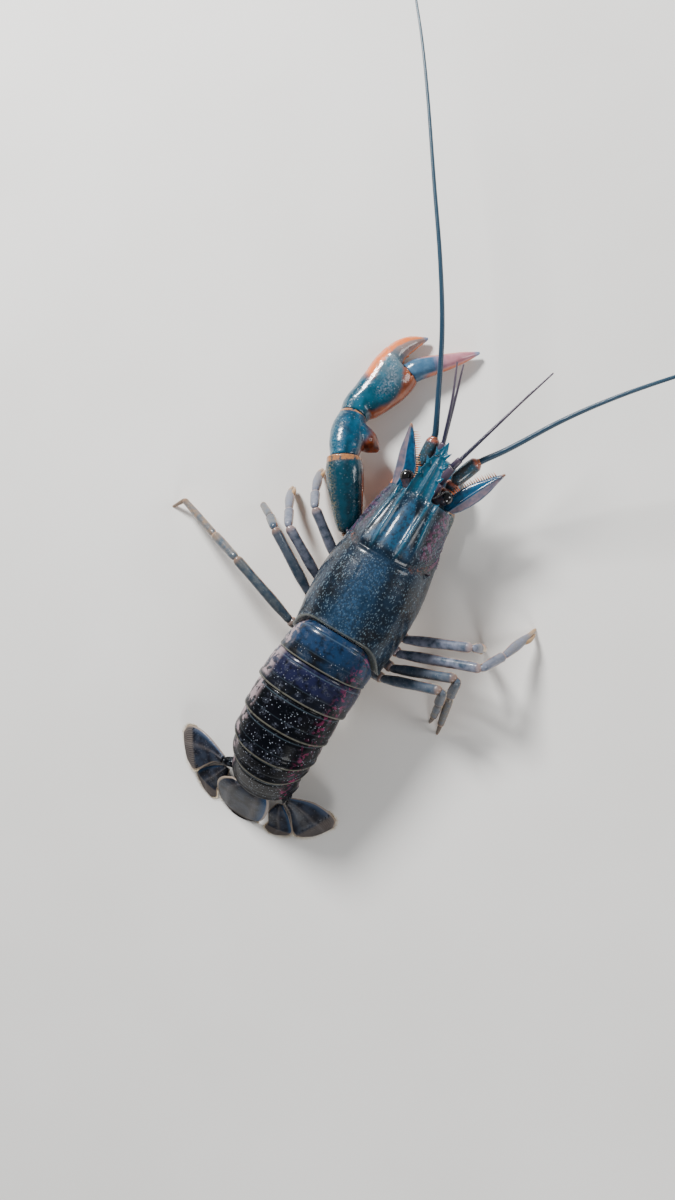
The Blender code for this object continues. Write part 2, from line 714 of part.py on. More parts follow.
def make_claw_leg(name, side):
    pose = CLAW_LEGS[name]
    prefix = f"cheliped_{name}_"
    tilt, girth = pose["tilt"], pose["girth"]
    parts = {}
    for key, points, start, end in claw_chain(name, side):
        parts[key] = article(prefix + key, sized(points, CLAW_SIZES[key], girth), claw_teal(), tilt,
                             sides=12 if key == "propodus" else 10, start=start, end=end)
    fuse(parts["carpus"], [article("knob", knob_rows(*pose["knob"], girth), claw_teal(), tilt)])
    finger_rows = sized(pose["finger"], FINGER_SIZES, girth)
    dactyl_rows = sized(pose["dactyl"], DACTYL_SIZES, girth)
    bite = (Vector(pose["dactyl"][2]) - Vector(pose["finger"][2])).normalized()
    finger = article("finger", finger_rows, claw_teal(), tilt)
    rest_on_floor(fuse(parts["propodus"], [finger, *teeth_on(finger_rows, bite, girth)]))
    dactyl = article(prefix + "dactyl", dactyl_rows, claw_teal(), tilt, start=finger_hinge(pose))
    rest_on_floor(fuse(dactyl, teeth_on(dactyl_rows, -bite, girth)))


# Walking legs: end of the coxa and basis, of the ischium, the knee, the ends of the carpus and
# the propodus, and the tip

LEGS = {
    ("left", 2): ((9.0, -12.2, 7.0), (14.8, -17.0, 9.4), (26.0, -26.5, 16.6),
                  (30.5, -31.5, 11.2), (34.4, -38.0, 3.6), (35.0, -39.6, -0.3)),
    ("left", 3): ((9.2, -6.0, 7.0), (16.6, -9.4, 10.0), (29.5, -18.0, 18.5),
                  (34.5, -23.0, 12.5), (39.6, -28.6, 3.6), (40.6, -30.2, -0.3)),
    ("left", 4): ((9.2, 0.6, 7.0), (17.0, -4.2, 10.0), (33.0, -15.4, 18.4),
                  (38.5, -18.4, 12.6), (45.0, -20.6, 3.8), (46.4, -21.2, -0.3)),
    ("left", 5): ((9.2, 6.6, 7.0), (17.6, 5.8, 10.8), (38.6, -2.3, 19.0),
                  (50.6, -5.2, 13.6), (67.8, -9.5, 4.6), (72.0, -5.8, -0.3)),
    ("right", 2): ((-9.2, -9.6, 7.0), (-15.0, -6.6, 10.2), (-32.6, -14.0, 19.0),
                   (-35.4, -15.4, 13.4), (-36.0, -15.8, 4.4), (-35.8, -15.6, -0.3)),
    ("right", 3): ((-9.2, -4.2, 7.0), (-15.4, -2.0, 10.2), (-37.6, -10.3, 19.4),
                   (-42.2, -16.8, 12.6), (-45.6, -26.0, 4.2), (-46.4, -28.6, -0.3)),
    ("right", 4): ((-9.2, 1.6, 7.0), (-16.0, 2.6, 10.2), (-33.0, -4.2, 18.6),
                   (-35.0, 1.2, 13.2), (-36.4, 10.2, 4.4), (-36.8, 13.4, -0.3)),
    ("right", 5): ((-9.2, 6.8, 7.0), (-15.2, 6.6, 10.2), (-31.0, 0.8, 18.6),
                   (-33.2, 4.4, 12.8), (-33.4, 9.2, 4.4), (-33.2, 11.6, -0.3)),
}
PINCERED = (2, 3)


def leg_upper_rows(root, outward, coxa, ischium, knee, facing):
    """Coxa and basis, then ischium and merus up to the knee."""
    thigh = knee - ischium
    rows = [(root, 1.6), (root + outward * 1.3, 2.0), (coxa, 1.7), (coxa.lerp(ischium, 0.5), 1.6),
            (ischium, 1.5)]
    for share, radius in ((0.08, 1.35), (0.3, 1.65), (0.7, 1.5), (0.93, 1.55)):
        rows.append((ischium + thigh * share, radius))
    rows.append((knee, 1.35))
    rows.append((knee + facing * 0.7, 1.15))
    return rows


def leg_lower_rows(start, facing, carpus, palm, tip, pincered):
    rows = [(start, 1.1), (start + facing * 0.7, 1.3), (start.lerp(carpus, 0.75), 1.45), (carpus, 1.15),
            (carpus.lerp(palm, 0.12), 1.2)]
    if pincered:
        rows += [(carpus.lerp(palm, 0.45), 1.5), (carpus.lerp(palm, 0.72), 1.3), (palm, 0.75)]
    else:
        rows += [(carpus.lerp(palm, 0.5), 1.2), (carpus.lerp(palm, 0.94), 1.0), (palm, 0.8)]
    rows += [(palm.lerp(tip, 0.6), 0.6), (tip, 0.4)]
    return rows


def make_leg(name, row, side):
    coxa, ischium, knee, carpus, palm, tip = (Vector(p) for p in LEGS[name, row])
    root, outward = limb_root(LEG_ROWS[row], side, 8.3)
    facing = ((knee - ischium).normalized() + (carpus - knee).normalized()).normalized()
    rows = leg_upper_rows(root, outward, coxa, ischium, knee, facing)
    tube(f"leg_{row}_{name}_upper", [p for p, _ in rows], [r for _, r in rows], leg_slate(), 2)
    start = knee + facing * (0.7 + GAP)
    rows = leg_lower_rows(start, facing, carpus, palm, tip, row in PINCERED)
    shin = tube(f"leg_{row}_{name}_lower", [p for p, _ in rows], [r for _, r in rows], leg_slate(), 2)
    if row in PINCERED:
        shin = fuse(shin, [pincer_finger(carpus, palm, tip)])
    rest_on_floor(shin)


def pincer_finger(carpus, palm, tip):
    """The moving finger of the small pincer on the second and third legs."""
    branch = carpus.lerp(palm, 0.62)
    lean = (palm - carpus).cross(Vector((0, 0, 1)))
    if lean.length < 3.0:
        lean = Vector((0, 1, 0))
    lean.normalize()
    points = [branch, palm.lerp(branch, 0.3) + lean * 1.2, palm.lerp(tip, 0.55) + lean]
    return tube("finger", points, [0.9, 0.75, 0.35], leg_slate(), 1)


# Abdomen

def abdomen_joints():
    """Top point and pitch of each joint plane, from the carapace to the telson."""
    joints = []
    x, y, z = 0.0, 0.0, ABDOMEN_TOP
    pitches = [row[1] for row in SOMITES] + [TELSON_PITCH]
    for k, (length, pitch, _, _, _, bend) in enumerate(SOMITES):
        plane = (pitches[max(k - 1, 0)] + pitches[k]) / 2
        joints.append((x, y, z, plane))
        x = bend
        y += length * math.cos(math.radians(pitch))
        z -= length * math.sin(math.radians(pitch))
    joints.append((x, y, z, (pitches[-2] + pitches[-1]) / 2))
    return joints


def somite_section(half_width, arch, lobe, belly):
    """(x, depth) of one section, from the top over the left side to the belly's middle and back."""
    half = []
    for angle in (16, 32, 48, 64, 78, 90):
        turn = math.radians(angle)
        half.append((half_width * math.sin(turn)**0.9, arch * (1 - math.cos(turn))))
    half += [(0.97 * half_width, mix(arch, lobe, 0.55)), (0.88 * half_width, lobe),
             (0.76 * half_width, mix(belly, lobe, 0.6)), (0.62 * half_width, belly)]
    return [(0.0, 0.0), *half, (0.0, belly - 0.8)] + [(-x, d) for x, d in reversed(half)]


def joint_between(index, share):
    """The section plane at this share of a somite's length."""
    joints = abdomen_joints()
    return [mix(a, b, share) for a, b in zip(joints[index], joints[index + 1])]


def joint_point(plane, across, depth, step):
    """A point of a section plane: across, down by depth and along the body by step."""
    x, y, z, pitch = plane
    turn = math.radians(pitch)
    return Vector((x + across, y + step * math.cos(turn) - depth * math.sin(turn),
                   z - step * math.sin(turn) - depth * math.cos(turn)))


def make_somite(index):
    half_width, arch, lobe = SOMITES[index][2:5]
    belly = arch + 0.4
    rings = []
    for share, swell, drop in SOMITE_RINGS:
        depth = mix(belly, lobe, drop)
        shape = somite_section(half_width + swell, arch, depth, belly)
        plane = joint_between(index, share)
        lower = max(-swell, 0.0)
        step = {0.0: JOINT_GAP, 1.0: -JOINT_GAP}.get(share, 0.0)
        rings.append([joint_point(plane, x, d + lower, step) for x, d in shape])
    if index == 0:
        rings = [under_carapace(ring, k) for k, ring in enumerate(rings)]
    body = loft(f"somite_{index + 1}", rings, abdomen_black(), ladder_start=index == 0)
    if 1 <= index <= 4:
        body = fuse(body, swimmerets(index))
    return body


def under_carapace(ring, k):
    """The first somite's rings start at the carapace's rear margin."""
    share = SOMITE_RINGS[k][0]
    length, lean = SOMITES[0][0], SOMITES[1][1] / 2
    moved = []
    for x, y, z in ring:
        start = rear_margin(z) + 1.8 * GAP
        end = length - (ABDOMEN_TOP - z) * math.sin(math.radians(lean)) - JOINT_GAP
        moved.append((x, mix(start, end, share), z))
    return moved


# Swimmerets: depth under the arch, step towards the tail, share of the branches' spread, half width
SWIMMERET = ((-1.5, 0.0, 0.2, 0.9), (1.2, 0.4, 0.3, 1.0), (3.2, 1.0, 1.0, 1.1), (5.6, 2.0, 1.2, 0.5))
SWIMMERET_SPREAD = 1.1
SWIMMERET_HALF_THICKNESS = 0.45


def swimmerets(index):
    """A pair of two-branched swimmerets under a somite."""
    half_width, arch = SOMITES[index][2:4]
    plane = joint_between(index, 0.5)
    pieces = []
    for side in (LEFT, RIGHT):
        for spread in (-SWIMMERET_SPREAD, SWIMMERET_SPREAD):
            rows = []
            for depth, step, lean, wide in SWIMMERET:
                across = side * 0.42 * half_width + spread * lean
                place = joint_point(plane, across, arch + depth, step)
                rows.append((place, wide, SWIMMERET_HALF_THICKNESS))
            pieces.append(article("swimmeret", rows, belly_cream(), up=(0, 1, 0.2), sides=6))
    return pieces


# Tail fan

# Uropod blades: rows of the outer edge point and the inner edge point, from root to end
EXOPODS = {
    "left": (
        ((14.4, 51.2, 9.4), (14.2, 53.6, 9.2)),
        ((18.8, 50.0, 7.9), (17.0, 55.2, 7.4)),
        ((23.2, 49.2, 6.4), (18.9, 57.8, 5.8)),
        ((27.3, 49.2, 5.0), (20.4, 60.2, 4.4)),
        ((30.5, 50.5, 3.6), (22.2, 61.6, 3.1)),
        ((31.0, 53.0, 3.0), (25.2, 60.4, 2.5)),
    ),
    "right": (
        ((-8.4, 51.6, 9.2), (-8.8, 53.9, 9.1)),
        ((-12.0, 50.3, 7.8), (-11.2, 56.0, 7.4)),
        ((-16.0, 49.4, 6.2), (-12.9, 58.8, 5.8)),
        ((-20.3, 49.7, 4.8), (-14.6, 61.2, 4.4)),
        ((-23.6, 51.0, 3.6), (-16.9, 61.4, 3.2)),
        ((-24.2, 53.4, 3.0), (-20.0, 59.4, 2.6)),
    ),
}
ENDOPODS = {
    "left": (
        ((13.5, 53.9, 7.7), (11.3, 54.3, 8.0)),
        ((17.2, 56.4, 5.2), (10.9, 58.2, 6.0)),
        ((19.6, 58.8, 3.4), (11.6, 60.8, 3.6)),
        ((21.2, 61.2, 1.9), (12.9, 62.8, 1.6)),
        ((20.6, 63.0, 0.9), (12.0, 65.4, 0.5)),
        ((18.0, 64.9, 0.4), (13.2, 66.3, 0.3)),
    ),
    "right": (
        ((-8.0, 54.6, 7.6), (-6.3, 55.2, 7.8)),
        ((-10.8, 57.0, 5.4), (-5.0, 58.8, 5.9)),
        ((-12.6, 59.2, 3.6), (-5.2, 61.0, 3.4)),
        ((-14.0, 61.4, 2.0), (-5.9, 63.2, 1.4)),
        ((-13.4, 63.4, 0.9), (-5.6, 65.3, 0.5)),
        ((-11.4, 64.8, 0.4), (-7.6, 65.9, 0.3)),
    ),
}
UROPOD_ROOT_X, UROPOD_ROOT_DEPTH = 8.0, 6.6
PROTOPOD_GAP = 2.1 * GAP


def middle_of(row):
    return (Vector(row[0]) + Vector(row[1])) / 2


def make_protopod(name, side):
    """The short base of a uropod, on the rear face of the last somite."""
    plane = abdomen_joints()[-1]
    turn = math.radians(plane[3])
    root = joint_point(plane, side * UROPOD_ROOT_X, UROPOD_ROOT_DEPTH, 0.9 * GAP)
    out = Vector((0, math.cos(turn), -math.sin(turn)))
    knee = root + out * 1.5 + Vector((side * 0.8, 0, 0))
    first, second = (middle_of(row) for row in EXOPODS[name][:2])
    toward = (second - first).normalized()
    rows = ((root, 1.7, 1.8), (knee, 1.8, 1.7), (first - toward * PROTOPOD_GAP, 1.3, 1.1))
    return article(f"uropod_{name}_base", rows, abdomen_black(), sides=8, start=out, end=toward)


def make_telson():
    x, y, z, _ = abdomen_joints()[-1]
    line = (x, y, z, TELSON_PITCH)
    rows = [(joint_point(line, shift, -lift, along), half_width) for along, half_width, lift, shift in TELSON]
    return rest_on_floor(blade("telson", edges_of(rows), abdomen_black(), 1.1, 0.7, up=(0, 1, 1)))


def make_fan():
    make_telson()
    for name, side in SIDES.items():
        make_protopod(name, side)
        rest_on_floor(blade(f"uropod_{name}_exopod", EXOPODS[name], abdomen_black()))
        rest_on_floor(blade(f"uropod_{name}_endopod", ENDOPODS[name], abdomen_black(), up=(0, 1, 1)))


def gather(name):
    """Puts every piece in one collection and under one empty, whose origin is the bottom centre."""
    pieces = list(bpy.context.scene.collection.objects)
    group = bpy.data.collections.new(name)
    bpy.context.scene.collection.children.link(group)
    corners = [v.co for piece in pieces for v in piece.data.vertices]
    low = Vector(min(c[i] for c in corners) for i in range(3))
    high = Vector(max(c[i] for c in corners) for i in range(3))
    origin = bpy.data.objects.new(name + "_origin", None)
    origin.location = (-(low.x + high.x) / 2, -(low.y + high.y) / 2, -low.z)
    group.objects.link(origin)
    for piece in pieces:
        bpy.context.scene.collection.objects.unlink(piece)
        group.objects.link(piece)
        piece.parent = origin


def main():
    clear_scene()
    make_carapace()
    make_sternum()
    for name, side in SIDES.items():
        make_eye(name, side)
        make_eyestalk(name, side)
        make_antennule(name)
        make_peduncle(name)
        make_feeler(name)
        make_scale(name)
        make_maxilliped(name, side)
        make_claw_leg(name, side)
        for row in LEG_ROWS:
            make_leg(name, row, side)
    for index in range(len(SOMITES)):
        make_somite(index)
    make_fan()
    gather("crayfish")


main()
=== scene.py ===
# %% [markdown]
# A redclaw crayfish at life size, standing still as in a museum case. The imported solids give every
# place and size, and this file dresses them in finer shells, each with its own finish. The tables
# are in millimetres with the head towards -Y, and SHIFT, found from one eye, sets them on the
# solids.

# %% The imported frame
import math

import bmesh
import bpy
import numpy as np
from mathutils import Matrix, Vector, noise


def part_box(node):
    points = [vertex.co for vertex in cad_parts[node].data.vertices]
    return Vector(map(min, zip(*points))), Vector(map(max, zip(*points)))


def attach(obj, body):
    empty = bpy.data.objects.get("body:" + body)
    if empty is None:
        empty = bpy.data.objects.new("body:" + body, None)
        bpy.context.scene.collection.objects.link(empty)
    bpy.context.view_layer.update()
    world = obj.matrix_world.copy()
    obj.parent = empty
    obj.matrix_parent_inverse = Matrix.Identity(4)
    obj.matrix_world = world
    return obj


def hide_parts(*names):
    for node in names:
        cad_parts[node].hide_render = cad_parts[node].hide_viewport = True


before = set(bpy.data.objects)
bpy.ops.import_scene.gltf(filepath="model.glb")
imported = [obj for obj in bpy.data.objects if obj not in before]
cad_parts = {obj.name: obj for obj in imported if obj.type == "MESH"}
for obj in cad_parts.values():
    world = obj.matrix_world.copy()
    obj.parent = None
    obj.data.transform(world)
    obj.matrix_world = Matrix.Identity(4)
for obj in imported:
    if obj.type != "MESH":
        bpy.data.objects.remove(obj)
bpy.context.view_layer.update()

MM = 0.001
GAP = 0.3
SIDES = {"left": 1, "right": -1}
EYE = (6.4, -47.2, 22.9)
low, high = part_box("eye_left")
SHIFT = (low + high) / 2 - Vector(EYE) * MM
print("nodes", len(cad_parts), "shift in mm", [round(v / MM, 2) for v in SHIFT])

# %% [markdown]
# The camera stands where the photograph's did, looking nearly straight down on the back. It could
# be aimed by eye. Its place and turn were worked out from landmarks on the body instead, which
# holds the outline everywhere at once.

# %% Camera
LENS, CAMERA_AT = 27.0, (-38.95, -13.83, 274.66)
SENSOR = 36.0
CAMERA_FORWARD, CAMERA_UP = Vector((0.1756, 0.0265, -0.9841)), Vector((0.4954, -0.8662, 0.0650))


def in_scene(name, data):
    """A new object around a camera, a lamp or a mesh, linked into the scene."""
    made = bpy.data.objects.new(name, data)
    bpy.context.scene.collection.objects.link(made)
    return made


def add_camera():
    data = bpy.data.cameras.new("camera")
    data.lens, data.sensor_width = LENS, SENSOR
    data.clip_start, data.clip_end = 0.01, 10.0
    camera = in_scene("camera", data)
    back = -CAMERA_FORWARD.normalized()
    right = CAMERA_UP.cross(back).normalized()
    up = back.cross(right)
    turn = [[right[i], up[i], back[i]] for i in range(3)]
    camera.matrix_world = Matrix(turn).to_4x4()
    camera.location = SHIFT + Vector(CAMERA_AT) * MM
    bpy.context.scene.camera = camera


add_camera()
print("lens in mm", LENS)

# %% [markdown]
# Every shell swells and narrows smoothly between a few known sections. Pushing points about would
# lose the sizes. A short table, read with a smooth curve through its rows, gives the same body as
# finely as wanted.

# %% Number helpers


def mix(a, b, t):
    return a + (b - a) * t


def ease(t):
    t = min(max(t, 0.0), 1.0)
    return t * t * (3 - 2 * t)


def bell(distance, width):
    return np.exp(-(distance / width)**2)


def soft_step(value, start, end):
    t = np.clip((value - start) / (end - start), 0.0, 1.0)
    return t * t * (3 - 2 * t)


# %% Reading a table


def read(table, y):
    """The row of a table at y, smoothly interpolated between its rows."""
    order = 1 if table[-1][0] > table[0][0] else -1
    rows = table[::order]
    k = 0
    while k < len(rows) - 2 and rows[k + 1][0] <= y:
        k += 1
    before, start, end, after = (rows[min(max(i, 0), len(rows) - 1)] for i in range(k - 1, k + 3))
    t = (y - start[0]) / (end[0] - start[0])
    values = []
    for a, b, c, d in zip(before[1:], start[1:], end[1:], after[1:]):
        values.append((2 * t**3 - 3 * t**2 + 1) * b + (t**3 - 2 * t**2 + t) * (c - a) / 2
                      + (3 * t**2 - 2 * t**3) * c + (t**3 - t**2) * (d - b) / 2)
    return values


def curve_through(rows, steps, closed=False):
    """Rows of numbers on one smooth curve through the given rows."""
    rows = np.array(rows, float)
    if closed:
        padded = np.concatenate([rows[-1:], rows, rows[:2]])
    else:
        padded = np.concatenate([2 * rows[:1] - rows[1:2], rows, 2 * rows[-1:] - rows[-2:-1]])
    found = []
    for a, b, c, d in zip(padded, padded[1:], padded[2:], padded[3:]):
        for t in np.arange(steps) / steps:
            found.append(0.5 * (2 * b + (c - a) * t + (2 * a - 5 * b + 4 * c - d) * t**2
                                + (3 * b - a - 3 * c + d) * t**3))
    if not closed:
        found.append(rows[-1])
    return np.array(found)


def on_side(point, side):
    """A point given for the left half, or its mirror image where side is -1."""
    return Vector(point) * Vector((side, 1, 1))


def run_along(centres):
    """How far along the route each of its points lies, from its start."""
    return np.concatenate([[0], np.cumsum(np.linalg.norm(np.diff(centres, axis=0), axis=1))])


# %% [markdown]
# Shells are skinned through rings of points. Where several forms grow into one another, as the
# spines do out of the carapace, a Boolean union would leave hard cuts, and a voxel remesh melts
# them together with soft roots. Each mesh keeps how far along every point lies, for the finishes
# to read.

# %% Marks and skins


def mark(mesh, name, values):
    """Stores one number for each point, which a material can read."""
    layer = mesh.attributes.get(name) or mesh.attributes.new(name, "FLOAT", "POINT")
    layer.data.foreach_set("value", np.asarray(values, np.float32))


def skin(rings, along=None):
    """A closed mesh through rings of equally many points, with a fan over each end."""
    rings = np.array([[tuple(p) for p in ring] for ring in rings], float)
    count, around = rings.shape[:2]
    points = np.concatenate([rings.reshape(-1, 3), [rings[0].mean(0), rings[-1].mean(0)]])
    faces = []
    for i in range(count - 1):
        for j in range(around):
            k = (j + 1) % around
            faces.append((i * around + j, i * around + k, (i + 1) * around + k, (i + 1) * around + j))
    last = (count - 1) * around
    for j in range(around):
        k = (j + 1) % around
        faces.append((k, j, count * around))
        faces.append((last + j, last + k, count * around + 1))
    mesh = bpy.data.meshes.new("skin")
    mesh.from_pydata(points.tolist(), [], faces)
    shape = bmesh.new()
    shape.from_mesh(mesh)
    bmesh.ops.recalc_face_normals(shape, faces=shape.faces)
    shape.to_mesh(mesh)
    shape.free()
    along = np.linspace(0, 1, count) if along is None else np.array(along)
    mark(mesh, "along", np.concatenate([np.repeat(along, around), along[[0, -1]]]))
    return mesh


# %% Joining and changing meshes


def merged(meshes):
    """Several meshes as the loose parts of one."""
    shape = bmesh.new()
    for mesh in meshes:
        shape.from_mesh(mesh)
        bpy.data.meshes.remove(mesh)
    whole = bpy.data.meshes.new("merged")
    shape.to_mesh(whole)
    shape.free()
    return whole


def evaluated(mesh, prepare):
    """The mesh after the modifiers that prepare() puts on a helper object."""
    helper = in_scene("helper", mesh)
    prepare(helper)
    bpy.context.view_layer.update()
    made = bpy.data.meshes.new_from_object(helper.evaluated_get(bpy.context.evaluated_depsgraph_get()))
    bpy.data.objects.remove(helper)
    bpy.data.meshes.remove(mesh)
    return made


def melted(meshes, voxel, relax=3):
    """One outer skin around all the meshes."""
    def prepare(helper):
        remesh = helper.modifiers.new("skin", "REMESH")
        remesh.mode, remesh.voxel_size = "VOXEL", voxel
        smooth = helper.modifiers.new("relax", "SMOOTH")
        smooth.factor, smooth.iterations = 0.5, relax
    return evaluated(merged(meshes), prepare)


# %% Moving points


def points_of(mesh, what="co"):
    values = np.empty(len(mesh.vertices) * 3, np.float32)
    source = mesh.vertices if what == "co" else mesh.vertex_normals
    source.foreach_get("co" if what == "co" else "vector", values)
    return values.reshape(-1, 3).astype(float)


def raise_skin(mesh, heights):
    """Moves each point out along its normal by its own height."""
    points = points_of(mesh) + points_of(mesh, "normal") * np.asarray(heights)[:, None]
    mesh.vertices.foreach_set("co", points.astype(np.float32).ravel())
    mesh.update()


def speckle(points, size, seed=0.0):
    """Smooth noise from -1 to 1 at each point."""
    shift = Vector((seed, seed * 0.7, seed * 1.3))
    return np.array([noise.noise(Vector(p) / size + shift) for p in points])


# %% [markdown]
# A finished piece keeps its place in its mesh, so its object stands unturned at the origin. It
# rides on the one body and hides the solids that it stands in for.

# %% Placing a piece
PIECES = []


def place_piece(name, mesh, coat, nodes=()):
    """Turns a mesh in millimetres into a piece of the body. Nothing reaches below the floor."""
    points = points_of(mesh)
    points[:, 2] = np.maximum(points[:, 2], 0.0)
    mesh.vertices.foreach_set("co", (points * MM + np.array(SHIFT)).astype(np.float32).ravel())
    mesh.shade_smooth()
    mesh.update()
    mesh.materials.clear()
    mesh.materials.append(coat)
    piece = in_scene(name, mesh)
    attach(piece, "root")
    if nodes:
        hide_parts(*nodes)
    PIECES.append(piece)


def count_pieces(*words):
    return sum(any(word in piece.name for word in words) for piece in PIECES)


# %% [markdown]
# Node trees for finishes could be wired one link at a time. Written as plain Python they read like
# the pattern they make: a Wire stands for one output of a node, and adding or multiplying Wires
# adds the Math nodes. A Mapping node turns Object coordinates into the millimetres of the tables,
# so every pattern is laid out on the body.

# %% Nodes of a tree


def set_inputs(tree, node, inputs):
    """Sets a node's inputs. Wires and sockets are linked, and other values are set as they are."""
    for key, value in inputs.items():
        value = getattr(value, "socket", value)
        if isinstance(value, bpy.types.NodeSocket):
            tree.links.new(value, node.inputs[key])
        else:
            node.inputs[key].default_value = value


def tree_node(tree, kind, inputs=None, out=0, **settings):
    """Adds a node to a tree and returns one of its outputs."""
    made = tree.nodes.new(kind)
    for key, value in settings.items():
        setattr(made, key, value)
    set_inputs(tree, made, inputs or {})
    return made.outputs[out]


# %% Wires


class Wire:
    """One output of a shader node, on which Python's own operators work."""

    def __init__(self, tree, socket=None):
        self.tree, self.socket = tree, socket

    def node(self, kind, inputs=None, out=0, **settings):
        return Wire(self.tree, tree_node(self.tree, "ShaderNode" + kind, inputs, out, **settings))

    def maths(self, operation, *values):
        return self.node("Math", dict(enumerate(values)), operation=operation)

    def __add__(self, other):
        return self.maths("ADD", self, other)

    def __sub__(self, other):
        return self.maths("SUBTRACT", self, other)

    def __rsub__(self, other):
        return self.maths("SUBTRACT", other, self)

    def __mul__(self, other):
        return self.maths("MULTIPLY", self, other)

    def __abs__(self):
        return self.maths("ABSOLUTE", self)

    __radd__, __rmul__ = __add__, __mul__

    def rise(self, start, end):
        """0 before start, 1 past end, with a soft ramp between. It falls where end is the lower."""
        return self.node("MapRange", {0: self, 1: start, 2: end}, interpolation_type="SMOOTHSTEP")

    def near(self, middle, width):
        return abs(self - middle).rise(width, 0.0)

    def tint(self, under, over):
        """The colour under, painted over by another where this mask is 1."""
        return self.node("Mix", {0: self, 6: under, 7: over}, out=2, data_type="RGBA")

    def axes(self):
        return [self.node("SeparateXYZ", {0: self}, out=i) for i in range(3)]

    def mapped(self, turn=(0, 0, 0), scale=(1, 1, 1)):
        return self.node("Mapping", {"Vector": self, "Rotation": turn, "Scale": scale})

    def dots(self, spacing, size, soft=0.12):
        """Round spots of this spacing in millimetres. size is a share of the spacing."""
        inputs = {"Vector": self, "Scale": 1 / spacing, "Randomness": 0.9}
        return self.node("TexVoronoi", inputs).rise(size, size - soft)

    def grain(self, size, detail=3.0):
        return self.node("TexNoise", {"Vector": self, "Scale": 1 / size, "Detail": detail})

    def read(self, name):
        """A number that the mesh keeps for each point."""
        return self.node("Attribute", out=2, attribute_name=name)


# %% [markdown]
# One function makes every material. A painter function gives the colour, the roughness and the
# fine relief as Wires. The gloss of wet shell is the same all over a piece, so it is set straight
# on the shader: a low sheen keeps dark shell dark, and a thin clear coat carries the highlights.

# %% Finishes


def rgb(red, green, blue):
    """A screen colour from 0 to 255 as the shader's own light values."""
    values = [v / 255 for v in (red, green, blue)]
    return (*[v / 12.92 if v <= 0.04045 else ((v + 0.055) / 1.055)**2.4 for v in values], 1.0)


def finish(name, paint, **fixed):
    """A material. paint(place) gives its colour, its roughness and its relief in millimetres."""
    material = bpy.data.materials.new(name)
    material.use_nodes = True
    tree = material.node_tree
    start = Wire(tree)
    at = start.node("TexCoord", out="Object")
    inputs = {"Vector": at, "Location": tuple(-SHIFT / MM), "Scale": (1 / MM,) * 3}
    colour, roughness, relief = paint(start.node("Mapping", inputs))
    looks = {"Base Color": colour, "Roughness": roughness}
    if relief is not None:
        looks["Normal"] = start.node("Bump", {"Height": relief, "Distance": MM, "Strength": 1.0})
    looks.update({key.replace("_", " "): value for key, value in fixed.items()})
    set_inputs(tree, tree.nodes["Principled BSDF"], looks)
    print("finish", name, "nodes", len(tree.nodes))
    return material


def wet(coat, sheen=0.22):
    """The fixed settings of a shell under a thin film of water."""
    return {"Specular_IOR_Level": sheen, "Coat_Weight": coat, "Coat_Roughness": 0.07}


# %% [markdown]
# The carapace is dark teal-navy and thickly sprinkled with pale, slanting flecks. Its front part
# is a smoother steel blue inside the ridges, the cheeks are mottled pink, and warm flecks lie in
# the cervical groove. A painted picture would blur up close, but the cells of a Voronoi pattern,
# stretched along the body, stay sharp.

# %% Carapace finish
NAVY, DEEP, STEEL = rgb(10, 32, 50), rgb(3, 12, 22), rgb(18, 64, 92)
FLECK, TEAL, PINK = rgb(122, 146, 160), rgb(20, 84, 108), rgb(104, 50, 84)
TAN, CREAM = rgb(92, 94, 86), rgb(206, 186, 150)
BROWN, WHITE, LILAC = rgb(126, 66, 40), rgb(222, 226, 232), rgb(52, 46, 84)


